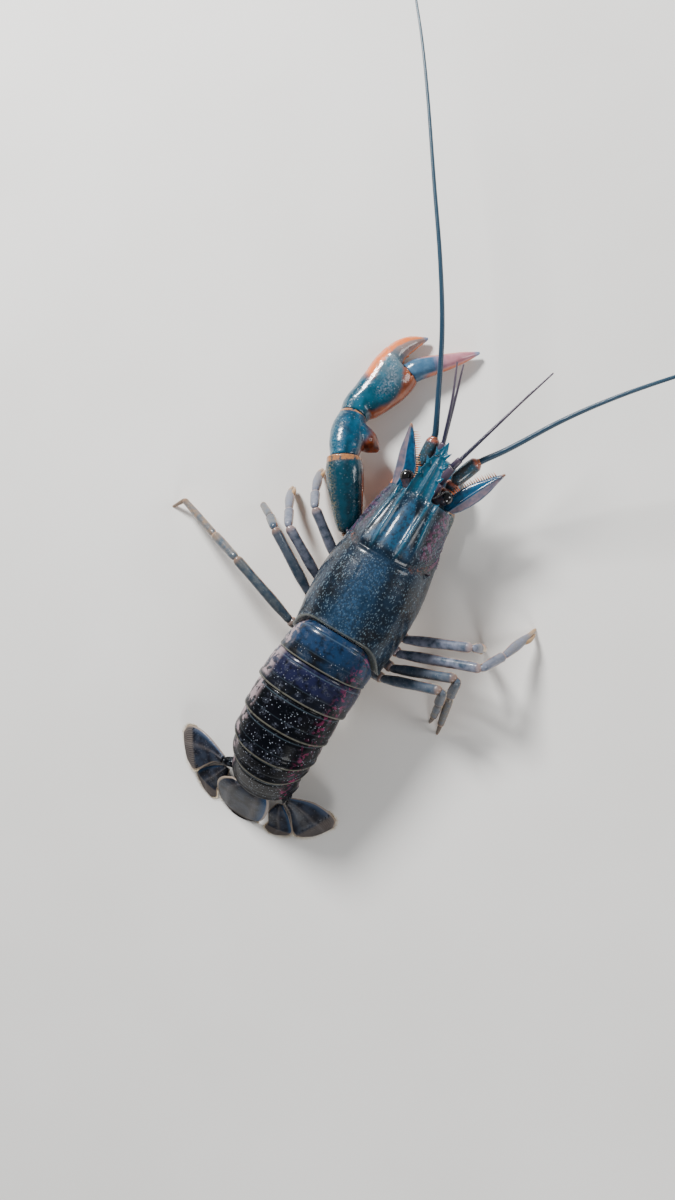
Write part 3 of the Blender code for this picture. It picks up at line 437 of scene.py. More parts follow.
def carapace_paint(place):
    x, y, z = place.axes()
    wide = abs(x)
    groove, rim, ridge = place.read("groove"), place.read("rim"), place.read("ridge")
    cloud = place.grain(5.0)
    colour = cloud.rise(0.35, 0.65).tint(NAVY, DEEP)
    middle = wide.rise(7.0, 1.5) * y.rise(-26.0, -20.0)
    film = place.grain(0.8).rise(0.46, 0.6)
    colour = (middle * cloud.rise(0.25, 0.55) * (0.35 + 0.4 * film)).tint(colour, rgb(40, 70, 98))
    ahead = y.rise(-25.5, -28.0)
    gastric = (wide - (y + 43.0) * 0.42).rise(0.5, -0.7) * ahead
    colour = (gastric * place.grain(1.6).rise(0.15, 0.6)).tint(colour, STEEL)
    colour = (gastric * place.grain(0.9).rise(0.5, 0.62) * 0.6).tint(colour, DEEP)
    cheek = wide.near(9.9, 2.6) * y.rise(-27.0, -31.0) * z.rise(21.0, 24.5)
    mottle = place.grain(1.3).rise(0.44, 0.58)
    rosy = x.rise(4.0, -4.0) * 0.5 + 0.4
    colour = (cheek * mottle * rosy).tint(colour, PINK)
    flecks = place.mapped((0.0, 0.35, 0.42), (1.0, 0.55, 1.0)).dots(0.92, 0.32, 0.24)
    fine = place.mapped((0.3, 0.0, 0.3), (1.0, 0.7, 1.0)).dots(0.56, 0.34, 0.2)
    snout = y.rise(-41.0, -46.0)
    dotted = (1.0 - gastric * 0.94) * (1.0 - groove * 0.8) * (1.0 - middle * 0.45) * (1.0 - snout * 0.75)
    strength = flecks * (0.3 + 0.5 * wide.rise(3.0, 12.0)) * dotted * place.grain(2.4).rise(0.2, 0.6)
    colour = (strength * 0.62).tint(colour, FLECK)
    colour = (fine * 0.36 * dotted).tint(colour, FLECK)
    colour = (snout * 0.55).tint(colour, TEAL)
    colour = (ridge * 0.7).tint(colour, TEAL)
    warm = groove * place.grain(0.8).rise(0.52, 0.64) * wide.rise(6.0, 11.0)
    colour = (warm * 0.7).tint(colour, BROWN)
    end_spot = groove.rise(0.2, 0.7) * wide.rise(11.8, 12.8)
    colour = (end_spot * 0.8).tint(colour, PINK)
    colour = (rim.rise(0.8, 0.98) * 0.55).tint(colour, TAN)
    low_side = z.rise(17.5, 12.5)
    colour = (low_side * 0.6 * mottle).tint(colour, LILAC)
    colour = z.rise(11.6, 10.9).tint(colour, CREAM)
    roughness = 0.27 + flecks * 0.1 + cloud * 0.12 + gastric * 0.16
    relief = flecks * 0.05 * dotted + fine * 0.02 + place.grain(0.45) * 0.045
    return colour, roughness, relief


carapace_finish = finish("carapace_shell", carapace_paint, **wet(0.3))

# %% [markdown]
# The carapace is one shield with a raised margin. Its section is a rounded arch with two pairs of
# ridges in front. Sculpting would leave its lines uneven. Here the rings of points lie between the
# front margin, the cervical groove and the rear margin, and each line runs true on the skin.

# %% Carapace sizes
# y, half width, top, height of the widest place, half width and height of the lower lip
CARAPACE = (
    (-43.5, 9.9, 28.3, 21.0, 7.6, 13.9), (-38.0, 10.9, 30.6, 21.0, 8.0, 13.9),
    (-32.0, 11.8, 32.2, 20.8, 8.4, 13.8), (-25.0, 12.8, 33.2, 20.4, 8.9, 13.6),
    (-19.0, 14.2, 33.6, 19.6, 10.0, 12.8), (-15.5, 15.1, 33.8, 19.2, 10.7, 11.7),
    (-12.0, 15.5, 33.8, 19.0, 11.4, 10.9), (-6.0, 15.2, 33.6, 18.6, 11.8, 10.6),
    (0.0, 14.3, 33.0, 18.5, 11.4, 10.8),
)
FRONT_Y, GROOVE_Y = -43.5, -23.8
CARINA_X = 3.9
# y, half width, height of the edge, depth of the keel
ROSTRUM = (
    (-39.5, 3.9, 29.2, 3.0), (-43.5, 3.9, 28.9, 3.0), (-47.0, 3.6, 28.9, 2.8), (-50.5, 3.1, 28.8, 2.5),
    (-53.5, 2.5, 28.6, 2.1), (-56.5, 1.5, 28.4, 1.6), (-59.0, 0.7, 28.3, 1.0), (-60.3, 0.25, 28.2, 0.5),
)
ROSTRAL_SPINES_Y = (-49.5, -53.0, -56.3)
CARAPACE_VOXEL, CARAPACE_RELAX = 0.26, 2
FRONT_RINGS, REAR_RINGS, ARCH_POINTS, LIP_POINTS = 28, 36, 44, 12
ROSTRUM_STEPS, ROSTRUM_POINTS = 6, 25

# %% The lines on the shield


def front_margin(z):
    return FRONT_Y + np.maximum(0.0, (21.0 - z) / 7.4)**1.5


def groove_line(z):
    return GROOVE_Y - 3.2 * (np.maximum(0.0, 33.5 - z) / 8.5)**1.6


def rear_margin(z):
    return 5.8 * soft_step(31.5 - z, 0.0, 12.5) - 2.6 * soft_step(16.5 - z, 0.0, 6.0)


def crest_x(y):
    return np.minimum(5.7 + 1.9 * (y - FRONT_Y) / 14.5, 7.6)


def carapace_ring(y, share, rear):
    half_width, top, widest, lip_half, lip = read(CARAPACE, y)
    front = ease((-22.0 - y) / 8.0)
    turn = np.linspace(0.0, math.pi / 2, ARCH_POINTS)
    x = half_width * np.sin(turn)
    z = widest + (top - widest) * np.sqrt(np.maximum(0.0, 1 - (x / half_width)**2.3))
    z += front * (0.8 * bell(x - CARINA_X, 0.6) + 0.6 * bell(x - crest_x(y), 0.7) - 0.3 * bell(x - 2.1, 0.9))
    under = np.linspace(0.0, math.pi / 2, LIP_POINTS)[1:]
    x = np.concatenate([x, mix(lip_half, half_width, np.cos(under)), [0.5 * lip_half, 0.0]])
    z = np.concatenate([z, widest - (widest - lip) * np.sin(under), [lip, lip]])
    x, z = np.concatenate([x, -x[-2:0:-1]]), np.concatenate([z, z[-2:0:-1]])
    lines = (groove_line(z), rear_margin(z)) if rear else (front_margin(z), groove_line(z))
    return np.stack([x, mix(*lines, share), z], 1)


# %% [markdown]
# Spines stand on the rostrum, behind each eye and at the ends of the cervical groove. Cones would
# look machined, so a spine tapers along a slightly bent line. Its sunk root lets the remesh blend
# it into the shell.

# %% Spines and rostrum
THORN_SHARES, THORN_SIDES, THORN_TIP = (0.0, 0.25, 0.5, 0.7, 0.86, 0.97, 1.0), 12, 0.06
# Root, tip, radius and bend of the left side's spines. The right side mirrors them.
CARAPACE_SPINES = (
    ((6.0, -40.0, 27.9), (6.3, -44.9, 27.6), 0.8, (0, 0, 0.15)),
    ((9.0, -42.0, 17.6), (9.4, -45.0, 17.6), 0.8, (0, 0, 0)),
    ((12.2, -24.8, 25.0), (14.0, -26.5, 25.7), 0.8, (0, 0, 0)),
)


def thorn(root, tip, radius, bend=(0, 0, 0)):
    """A slightly curved spine from a sunk root to a fine tip."""
    root, tip = Vector(root), Vector(tip)
    along = (tip - root).normalized()
    across = along.orthogonal().normalized()
    rise = along.cross(across)
    rings = []
    for t in THORN_SHARES:
        centre = root.lerp(tip, t) + Vector(bend) * 4 * t * (1 - t)
        size = max(radius * (1 - t**1.4), THORN_TIP)
        rings.append([centre + (across * math.cos(a) + rise * math.sin(a)) * size
                      for a in np.linspace(0, math.tau, THORN_SIDES, endpoint=False)])
    return skin(rings)


def rostrum_skin():
    rings = []
    for y, half_width, edge, keel in curve_through(ROSTRUM, ROSTRUM_STEPS):
        u = np.linspace(-1, 1, ROSTRUM_POINTS)
        top = edge - 0.26 * half_width * (1 - u**4) + 0.16 * half_width * bell(u, 0.14)
        top += 0.22 * bell(1 - abs(u), 0.2) * min(half_width, 1.5)
        under = edge - 0.25 * keel - 0.75 * keel * np.sqrt(np.maximum(0.0, 1 - u[1:-1]**2))
        ring = [(x * half_width, y, z) for x, z in zip(u, top)]
        rings.append(ring + [(x * half_width, y, z) for x, z in zip(u[-2:0:-1], under[::-1])])
    return skin(rings)


# %% Carapace


def carapace_mesh():
    ahead, behind = np.linspace(0, 1, FRONT_RINGS)[:-1], np.linspace(0, 1, REAR_RINGS)
    rings = [carapace_ring(mix(FRONT_Y, GROOVE_Y, t), t, False) for t in ahead]
    rings += [carapace_ring(mix(GROOVE_Y, 0.0, t), t, True) for t in behind]
    parts = [skin(rings), rostrum_skin()]
    for side in SIDES.values():
        for y in ROSTRAL_SPINES_Y:
            half_width, edge, _ = read(ROSTRUM, y)
            root = Vector((side * (half_width - 0.6), y + 0.6, edge - 0.3))
            parts.append(thorn(root, root + Vector((side * 1.6, -2.4, 0.6)), 0.6, (side * 0.12, 0, 0)))
        for root, tip, radius, bend in CARAPACE_SPINES:
            parts.append(thorn(on_side(root, side), on_side(tip, side), radius, bend))
    return melted(parts, CARAPACE_VOXEL, CARAPACE_RELAX)


def carve_carapace(mesh):
    """The groove, the rim and the finer lines, and where they lie for the finish."""
    points = points_of(mesh)
    x, y, z = points.T
    outside = soft_step(z, 11.5, 13.5)
    groove = bell((y - groove_line(z)) * 0.9, 0.75) * outside
    rim = bell(y - rear_margin(z) + 0.1, 0.75) * outside
    front = soft_step(-y, 23.0, 30.0) * soft_step(z, 26.0, 27.5)
    carina = bell(abs(x) - np.minimum(CARINA_X, 0.3 + (y + 61) * 0.27), 0.55) * front
    brow = bell(abs(x) - crest_x(y), 0.6) * front * soft_step(-y, 28.0, 33.0) * (y > -45.5)
    areola = bell(abs(x) - 3.1 - 0.05 * (y + 12)**2 / 8, 0.35) * soft_step(y, -21, -18) * soft_step(-y, 1, 3)
    beaded = speckle(points, 1.1) * soft_step(abs(x), 4.0, 9.0) * outside
    heights = -0.62 * groove + 0.22 * rim - 0.1 * areola + 0.035 * beaded
    heights += 0.05 * speckle(points, 3.0, 5.0) * outside
    raise_skin(mesh, heights)
    mark(mesh, "groove", groove)
    mark(mesh, "rim", rim * (z > 12.5))
    mark(mesh, "ridge", np.clip(carina + 0.8 * brow, 0, 1))
    patch = soft_step(abs(x), 8.5, 11.5) * soft_step(-y, 27.5, 30.0) * soft_step(z, 15.0, 17.0)
    mark(mesh, "grain", patch * (z < 27.0))


shield = carapace_mesh()
carve_carapace(shield)
place_piece("carapace_shell", shield, carapace_finish, ["carapace"])
print("carapace points", len(shield.vertices))

# %% [markdown]
# A plain pale floor and three soft lamps. The strong one on the picture's left gives the wet shell
# its long highlights, and the others keep the dark shell readable from every side. A bright sky
# would lay a grey haze over such dark and glossy shell, so the sky is dim.

# %% Floor and lights
FLOOR_HALF = 3.0
# Place and width in metres, power in watts
LAMPS = {
    "key": ((0.55, -0.3, 0.5), 0.2, 14.0),
    "fill": ((-0.6, -0.35, 0.45), 0.35, 3.0),
    "back": ((-0.5, 0.6, 0.4), 0.3, 3.0),
}
SKY, SKY_STRENGTH = (0.9, 0.93, 1.0, 1.0), 0.25


def floor_paint(place):
    return place.grain(60.0).rise(0.2, 0.8).tint(rgb(222, 220, 215), rgb(228, 226, 222)), 0.75, None


def add_floor():
    mesh = bpy.data.meshes.new("floor")
    corners = [(x * FLOOR_HALF, y * FLOOR_HALF, 0.0) for x, y in ((-1, -1), (1, -1), (1, 1), (-1, 1))]
    mesh.from_pydata(corners, [], [(0, 1, 2, 3)])
    mesh.materials.append(finish("floor_paper", floor_paint))
    floor = in_scene("floor", mesh)


def add_lamp(name, place, size, power):
    data = bpy.data.lights.new(name, "AREA")
    data.shape, data.size, data.energy = "DISK", size, power
    lamp = in_scene(name, data)
    lamp.location = place
    lamp.rotation_euler = (-Vector(place)).to_track_quat("-Z", "Y").to_euler()


add_floor()
for name, numbers in LAMPS.items():
    add_lamp(name, *numbers)
world = bpy.data.worlds.new("studio")
world.use_nodes = True
world.node_tree.nodes["Background"].inputs["Color"].default_value = SKY
world.node_tree.nodes["Background"].inputs["Strength"].default_value = SKY_STRENGTH
bpy.context.scene.world = world
print("lamps", len(LAMPS))

# %% [markdown]
# The abdomen is six rings that slide under one another like roof tiles. They are nearly black with
# white flecks, bluer on the first two, and each has a pale rim behind. The side lobes are blotched
# pinkish white low down, and on the upper left flank, the lamp's side, pale blotches are a painted
# sheen. The belly is cream. Patterns laid in space would cut across the bend, so these read how far
# along its ring and how far down each point lies.

# %% Abdomen finish


def abdomen_paint(front_colour, main_colour, fleck_size, blue_front):
    def paint(place):
        along, down, side = place.read("along"), place.read("down"), place.read("side")
        cloud = place.grain(3.5)
        colour = cloud.rise(0.35, 0.65).tint(main_colour, BLACK)
        band = along.rise(0.78, 0.62) * place.grain(1.5).rise(0.25, 0.6) * blue_front
        colour = band.tint(colour, front_colour)
        flecks = place.mapped((0.2, 0.1, 0.3)).dots(0.86, fleck_size, 0.14)
        clear = along.rise(0.1, 0.3) * (1.0 - along.rise(0.9, 0.98)) * place.grain(3.0).rise(0.3, 0.5)
        flecks = flecks * clear * (1.0 - along.rise(0.72, 0.6) * blue_front)
        film = place.grain(2.2).rise(0.52, 0.66) * place.grain(0.5).rise(0.4, 0.6)
        colour = (film * 0.4).tint(colour, rgb(74, 78, 90))
        colour = (flecks * 0.75).tint(colour, rgb(150, 157, 168))
        # Pale blotches: the lobes' own pinkish white low down on both sides, and on the upper left flank a
        # painted sheen where the lamp's reflection falls.
        pale = down.rise(0.2, 0.38) * side.rise(0.1, 0.4) + down.rise(0.85, 1.0)
        blotch_and_painted_sheen = pale * place.grain(2.4).rise(0.47, 0.55) * along.rise(0.98, 0.88)
        colour = (blotch_and_painted_sheen * 0.7).tint(colour, rgb(160, 140, 144))
        streak = down.near(0.42, 0.24) * place.grain(1.3).rise(0.52, 0.6) * side.rise(0.2, -0.3)
        colour = (streak * 0.7).tint(colour, MAGENTA)
        lines = along.near(0.2, 0.03) + along.near(0.74, 0.025) * 0.4
        colour = (lines * 0.16 * (1.0 - down.rise(0.8, 1.0))).tint(colour, FLECK)
        rim = along.rise(1.02, 1.035)
        colour = (rim * 0.8 * place.grain(1.0).rise(0.1, 0.5)).tint(colour, rgb(98, 96, 86))
        belly = down.rise(0.9, 1.0) * abs(side).rise(0.74, 0.64)
        under = (belly + down.rise(1.3, 1.45)).rise(0.0, 1.0)
        colour = under.tint(colour, cloud.tint(CREAM, rgb(150, 128, 112)))
        relief = flecks * 0.035 + place.grain(0.5) * 0.03
        return colour, 0.26 + cloud * 0.14 + rim * 0.1, relief
    return paint


BLUE_BAND, VIOLET, MAGENTA, BLACK = rgb(18, 46, 76), rgb(30, 33, 66), rgb(124, 38, 80), rgb(3, 5, 9)
# Front colour, main colour, fleck size, strength of the front colour, wetness
ABDOMEN_TONES = {
    "first_somite": (BLUE_BAND, rgb(13, 32, 52), 0.2, 0.9, 0.3),
    "second_somite": (VIOLET, rgb(9, 13, 24), 0.24, 0.6, 0.25),
    "black_somites": (VIOLET, rgb(8, 9, 15), 0.24, 0.0, 0.12),
}
somite_finishes = [finish(name, abdomen_paint(*tones), **wet(coat, 0.5 * coat))
                   for name, (*tones, coat) in ABDOMEN_TONES.items()]

# %% [markdown]
# Each ring is a loft of 35 sections that swell towards the rear rim. A tube with grooves would do
# from afar, but real plates overlap: each rim stands a little over the next ring and closes with a
# thin lip.

# %% Abdomen sizes
# Length, pitch in degrees, half width, height of the arch, depth of the side lobe, sideways bend
SOMITES = (
    (11.4, 0.0, 13.3, 12.4, 15.0, 0.8),
    (10.4, 3.0, 13.8, 12.6, 18.6, 1.7),
    (10.0, 6.0, 13.2, 12.4, 18.4, 1.9),
    (9.8, 12.0, 12.7, 12.0, 17.6, 1.7),
    (8.0, 38.0, 11.8, 11.2, 16.2, 1.5),
    (11.6, 51.0, 10.6, 9.6, 12.6, 1.2),
)
ABDOMEN_TOP, TELSON_PITCH = 33.0, 54.0
# Share of the ring's length, swell, share of the lobe's depth
SOMITE_RINGS = ((0.0, -0.9, 0.15), (0.16, -0.15, 0.55), (0.45, 0.1, 1.0), (0.75, 0.2, 0.9), (1.0, 0.1, 0.2))
OVERLAP = 0.75
SOMITE_STATIONS, ARCH_ANGLES = 32, (16, 32, 48, 64, 78, 90)

# %% Joints of the abdomen


def abdomen_joints():
    """Top point and pitch of each joint plane, from the carapace to the telson."""
    joints = []
    x, y, z = 0.0, 0.0, ABDOMEN_TOP
    pitches = [row[1] for row in SOMITES] + [TELSON_PITCH]
    for k, (length, pitch, _, _, _, bend) in enumerate(SOMITES):
        joints.append((x, y, z, (pitches[max(k - 1, 0)] + pitches[k]) / 2))
        x = bend
        y += length * math.cos(math.radians(pitch))
        z -= length * math.sin(math.radians(pitch))
    joints.append((x, y, z, (pitches[-2] + pitches[-1]) / 2))
    return joints


def joint_between(index, share):
    joints = abdomen_joints()
    return [mix(a, b, share) for a, b in zip(joints[index], joints[index + 1])]


def joint_point(plane, across, depth, step):
    """The point this far across, down and back from a joint's top point, in its tilted plane."""
    x, y, z, pitch = plane
    turn = math.radians(pitch)
    return Vector((x + across, y + step * math.cos(turn) - depth * math.sin(turn),
                   z - step * math.sin(turn) - depth * math.cos(turn)))


# %% Sections of a ring


def somite_section(half_width, arch, lobe, belly):
    half = []
    for angle in ARCH_ANGLES:
        turn = math.radians(angle)
        half.append((half_width * math.sin(turn)**0.9, arch * (1 - math.cos(turn))))
    half += [(0.97 * half_width, mix(arch, lobe, 0.55)), (0.88 * half_width, lobe),
             (0.76 * half_width, mix(belly, lobe, 0.6)), (0.62 * half_width, belly)]
    rough = [(0.0, 0.0), *half, (0.0, belly - 0.8)] + [(-x, d) for x, d in reversed(half)]
    return curve_through(rough, 4, closed=True)


def crease_at(share):
    """How far a ring stands out of its plain arch: two fine lines sink in and the rim rises."""
    lines = 0.16 * bell(share - 0.21, 0.035) + 0.07 * bell(share - 0.76, 0.03)
    return 0.12 * ease((share - 0.9) / 0.06) - lines


# %% Rings of the abdomen


def somite_mesh(index):
    length, _, half_width, arch, lobe, _ = SOMITES[index]
    belly = arch + 0.4
    over = OVERLAP / length if index < 5 else 0.0
    stations = [(t, 0.0) for t in np.linspace(0.0, 1.0 + over, SOMITE_STATIONS)]
    stations += [(1.0 + over - 0.004, 0.3), (1.0 + over - 0.02, 0.55), (1.0 - 0.2 / length, 0.8)]
    rings, marks = [], []
    for share, inset in stations:
        swell, drop = read(SOMITE_RINGS, min(share, 1.0))
        swell += 0.1 * ease((share - 0.9) / 0.1) - inset
        depth = mix(belly, lobe, drop)
        shape = somite_section(half_width + swell, arch, depth, belly)
        plane = joint_between(index, share)
        lower = max(-swell, 0.0)
        crease = 0.0 if inset else crease_at(share)
        ring = []
        for x, d in shape:
            outer = 1.0 if d < arch * 1.05 else 0.0
            scale = 1 + crease * outer / half_width
            place = joint_point(plane, x * scale, d + lower - crease * outer * (1 - d / arch) * 0.9, 0.0)
            ring.append(under_carapace(place, share) if index == 0 else place)
            marks.append((share, d / arch, x / half_width))
        rings.append(ring)
    mesh = skin(rings, [s for s, _ in stations])
    marks += [(0.0, 1.6, 0.0), (1.0, 1.6, 0.0)]
    mark(mesh, "down", [m[1] for m in marks])
    mark(mesh, "side", [m[2] for m in marks])
    return mesh


def under_carapace(place, share):
    """The first ring starts under the carapace's rear margin."""
    x, _, z = place
    start = rear_margin(z) + 1.8 * GAP
    end = SOMITES[0][0] - (ABDOMEN_TOP - z) * math.sin(math.radians(SOMITES[1][1] / 2)) - 0.6 * GAP
    return Vector((x, mix(start, end, share), z))


for index in range(len(SOMITES)):
    name = f"somite_{index + 1}"
    coat = somite_finishes[min(index, 2)]
    place_piece(name + "_ring", somite_mesh(index), coat, [name])
print("ring lengths in mm", [row[0] for row in SOMITES])

# %% [markdown]
# Fine hairs edge the swimmerets, the tail fan, the legs, the jaw feet and the feelers' scales. The
# strands of a hair system are no mesh, and this model has to be one. So a Geometry Nodes tree
# plants thin cones at even steps along an edge line, leaning as the line's own "lean" attribute
# says.

# %% Tree helpers


def tree_maths(tree, operation, first, second):
    return tree_node(tree, "ShaderNodeMath", {0: first, 1: second}, operation=operation)


def tree_random(tree, least, most, seed):
    inputs = {2: least, 3: most, "Seed": seed}
    return tree_node(tree, "FunctionNodeRandomValue", inputs, out=1, data_type="FLOAT")


def tree_read(tree, name, data_type="FLOAT"):
    """What the mesh keeps under this name for each point."""
    return tree_node(tree, "GeometryNodeInputNamedAttribute", {"Name": name}, data_type=data_type)


def new_tree(name, numbers):
    """An empty tree whose inputs are a mesh, a material and the named numbers."""
    tree = bpy.data.node_groups.new(name, "GeometryNodeTree")
    tree.interface.new_socket("Geometry", in_out="INPUT", socket_type="NodeSocketGeometry")
    tree.interface.new_socket("Finish", in_out="INPUT", socket_type="NodeSocketMaterial")
    for label, value in numbers.items():
        kind = "NodeSocketInt" if isinstance(value, int) else "NodeSocketFloat"
        tree.interface.new_socket(label, in_out="INPUT", socket_type=kind).default_value = value
    tree.interface.new_socket("Geometry", in_out="OUTPUT", socket_type="NodeSocketGeometry")
    return tree, tree.nodes.new("NodeGroupInput").outputs


def end_tree(tree, given, geometry):
    real = tree_node(tree, "GeometryNodeRealizeInstances", {0: geometry})
    smooth = tree_node(tree, "GeometryNodeSetShadeSmooth", {0: real})
    coated = tree_node(tree, "GeometryNodeSetMaterial", {0: smooth, "Material": given["Finish"]})
    tree.links.new(coated, tree.nodes.new("NodeGroupOutput").inputs[0])
    print("tree", tree.name, "nodes", len(tree.nodes))


# %% Fringe tree


def fringe_tree():
    numbers = {"Count": 40, "Length": 1.2, "Thickness": 0.05, "Untidy": 0.15, "Seed": 1}
    tree, given = new_tree("fringe", numbers)
    line = tree_node(tree, "GeometryNodeMeshToCurve", {0: given["Geometry"]})
    steps = tree_node(tree, "GeometryNodeResampleCurve", {0: line, "Count": given["Count"]})
    cone = {"Vertices": 4, "Radius Top": 0.008, "Radius Bottom": given["Thickness"], "Depth": 1.0}
    hair = tree_node(tree, "GeometryNodeMeshCone", cone)
    far = tree_node(tree, "ShaderNodeCombineXYZ", {i: given["Untidy"] for i in range(3)})
    near = tree_node(tree, "ShaderNodeVectorMath", {0: far, "Scale": -1.0}, operation="SCALE")
    limits = {0: near, 1: far, "Seed": given["Seed"]}
    stray = tree_node(tree, "FunctionNodeRandomValue", limits, data_type="FLOAT_VECTOR")
    lean = tree_read(tree, "lean", "FLOAT_VECTOR")
    way = tree_node(tree, "ShaderNodeVectorMath", {0: lean, 1: stray})
    turn = tree_node(tree, "FunctionNodeAlignRotationToVector", {"Vector": way}, axis="Z")
    length = tree_maths(tree, "MULTIPLY", tree_random(tree, 0.65, 1.0, given["Seed"]), given["Length"])
    scale = tree_node(tree, "ShaderNodeCombineXYZ", {0: 1.0, 1: 1.0, 2: length})
    planting = {0: steps, 2: hair, "Rotation": turn, "Scale": scale}
    end_tree(tree, given, tree_node(tree, "GeometryNodeInstanceOnPoints", planting))
    return tree


# %% Growing a mesh


def grown(mesh, tree, coat, **numbers):
    """The plain mesh that a tree makes from this one."""
    def prepare(helper):
        modifier = helper.modifiers.new("grow", "NODES")
        modifier.node_group = tree
        for item in tree.interface.items_tree:
            if item.in_out == "INPUT" and item.name == "Finish":
                modifier[item.identifier] = coat
            elif item.in_out == "INPUT" and item.name in numbers:
                modifier[item.identifier] = numbers[item.name]
    return evaluated(mesh, prepare)


def line_mesh(points, leans=None, radii=None):
    """A polyline whose points keep a lean or a radius for the trees."""
    mesh = bpy.data.meshes.new("line")
    mesh.from_pydata([tuple(p) for p in points], [(i, i + 1) for i in range(len(points) - 1)], [])
    if leans is not None:
        layer = mesh.attributes.new("lean", "FLOAT_VECTOR", "POINT")
        layer.data.foreach_set("vector", np.array([tuple(v) for v in leans], np.float32).ravel())
    if radii is not None:
        mark(mesh, "radius", radii)
    return mesh


FRINGE = fringe_tree()

# %% Hair finishes


def hair_paint(colour):
    def paint(place):
        return place.grain(1.5).rise(0.3, 0.7).tint(colour, rgb(150, 132, 104)), 0.55, None
    return paint


pale_hair = finish("pale_hair", hair_paint(rgb(214, 198, 168)))
orange_hair = finish("orange_hair", hair_paint(rgb(212, 96, 40)))


def hairs_along(line, leans, coat=pale_hair, **numbers):
    return grown(line_mesh(line, leans), FRINGE, coat, **numbers)


# %% [markdown]
# A limb segment is a hard tube that swells and narrows. A bent cylinder would keep one thickness,
# so it is a loft along a curved route with oval sections. Swimmerets, jaw feet, claw arms and
# walking legs all come from it.

# %% Limb sections
LIMB_LEAST = 0.08


def oval(centre, along, up, half_width, half_height, sides, power):
    """A ring of points square to the route. A power below 1 makes it boxier."""
    along = along.normalized()
    across = along.cross(up).normalized()
    rise = across.cross(along)
    turn = math.tau * np.arange(sides) / sides
    c, s = np.cos(turn), np.sin(turn)
    x = np.copysign(abs(c)**power, c) * half_width
    z = np.copysign(abs(s)**power, s) * half_height
    return [centre + across * a + rise * b for a, b in zip(x, z)]


def limb(rows, up=(0, 0, 1), sides=24, power=0.9, steps=5, start=None, end=None, rounded=0.35):
    """A closed segment through rows of (centre, half width, half height)."""
    table = curve_through([(*centre, w, h) for centre, w, h in rows], steps)
    centres = [Vector(row[:3]) for row in table]
    rings = []
    for i, row in enumerate(table):
        along = centres[min(i + 1, len(table) - 1)] - centres[max(i - 1, 0)]
        if start and i == 0:
            along = Vector(start)
        if end and i == len(table) - 1:
            along = Vector(end)
        wide, high = max(row[3], LIMB_LEAST), max(row[4], LIMB_LEAST)
        rings.append(oval(centres[i], along, Vector(up), wide, high, sides, power))
    for ring, centre, place in ((rings[0], centres[0], 0), (rings[-1], centres[-1], len(rings) + 1)):
        small = [centre + (p - centre) * (1 - rounded) for p in ring]
        rings.insert(place, small)
    return skin(rings)


def thigh_up(route):
    steep = abs((Vector(route[-1]) - Vector(route[0])).normalized().z) >= 0.95
    return Vector((0, 1, 0)) if steep else Vector((0, 0, 1))


# %% [markdown]
# Under rings two to five hang paired swimmerets, small paddles with two branches. They hardly
# show, so each branch is one plain limb segment that widens and thins again, with hairs on both
# edges.

# %% Swimmerets
# Depth under the belly, step back, share of the spread, half width
SWIMMERET = ((-1.5, 0.0, 0.2, 0.9), (1.2, 0.4, 0.3, 1.0), (3.2, 1.0, 1.0, 1.1), (5.6, 2.0, 1.2, 0.5))
SWIMMERET_SPREAD, SWIMMERET_ACROSS, SWIMMERET_THIN = 1.1, 0.42, 0.4
SWIMMERET_EDGES = (1.1, 0.5)


def cream_paint(place):
    cloud = place.grain(2.2)
    colour = cloud.rise(0.3, 0.7).tint(CREAM, rgb(196, 156, 112))
    blue = place.grain(3.1, 2.0).rise(0.55, 0.75)
    return (blue * 0.4).tint(colour, rgb(110, 136, 156)), 0.34 + cloud * 0.15, place.grain(0.6) * 0.04


cream_finish = finish("belly_cream_shell", cream_paint, **wet(0.25))


def swimmeret_meshes(index):
    half_width, arch = SOMITES[index][2:4]
    plane = joint_between(index, 0.5)
    paddles, hairs = [], []
    for side in SIDES.values():
        for spread in (-SWIMMERET_SPREAD, SWIMMERET_SPREAD):
            rows = []
            for depth, step, lean, wide in SWIMMERET:
                across = side * SWIMMERET_ACROSS * half_width + spread * lean
                place = joint_point(plane, across, arch + depth, step)
                rows.append((place, wide, SWIMMERET_THIN))
            paddles.append(limb(rows, up=(0, 1, 0.2), sides=14, power=1.0, steps=4))
            places = [row[0] for row in rows[2:]]
            out = (places[1] - places[0]).normalized()
            for way in (-1, 1):
                edge = [p + Vector((way * w * 0.85, 0, 0)) for p, w in zip(places, SWIMMERET_EDGES)]
                leans = [out * 0.6 + Vector((way * 0.8, 0, 0)), out + Vector((way * 0.25, 0, 0))]
                hairs.append(hairs_along(edge, leans, Count=14, Length=1.1, Thickness=0.045))
    return merged(paddles), merged(hairs)


for index in range(1, 5):
    paddles, hairs = swimmeret_meshes(index)
    place_piece(f"swimmerets_{index + 1}", paddles, cream_finish)
    place_piece(f"swimmeret_hairs_{index + 1}", hairs, pale_hair)
print("swimmeret pieces", count_pieces("swimmeret"))

# %% [markdown]
# The tail fan is a telson and four paddles. The near part of each is hard and dark, and the far
# part is softer and paler, with fine rays. The finish reads the marks that each blade keeps: how
# far along and across a point lies, and whether it is soft, on a rib or on the edge.

# %% Tail fan finish
RAY_TURNS = 130.0


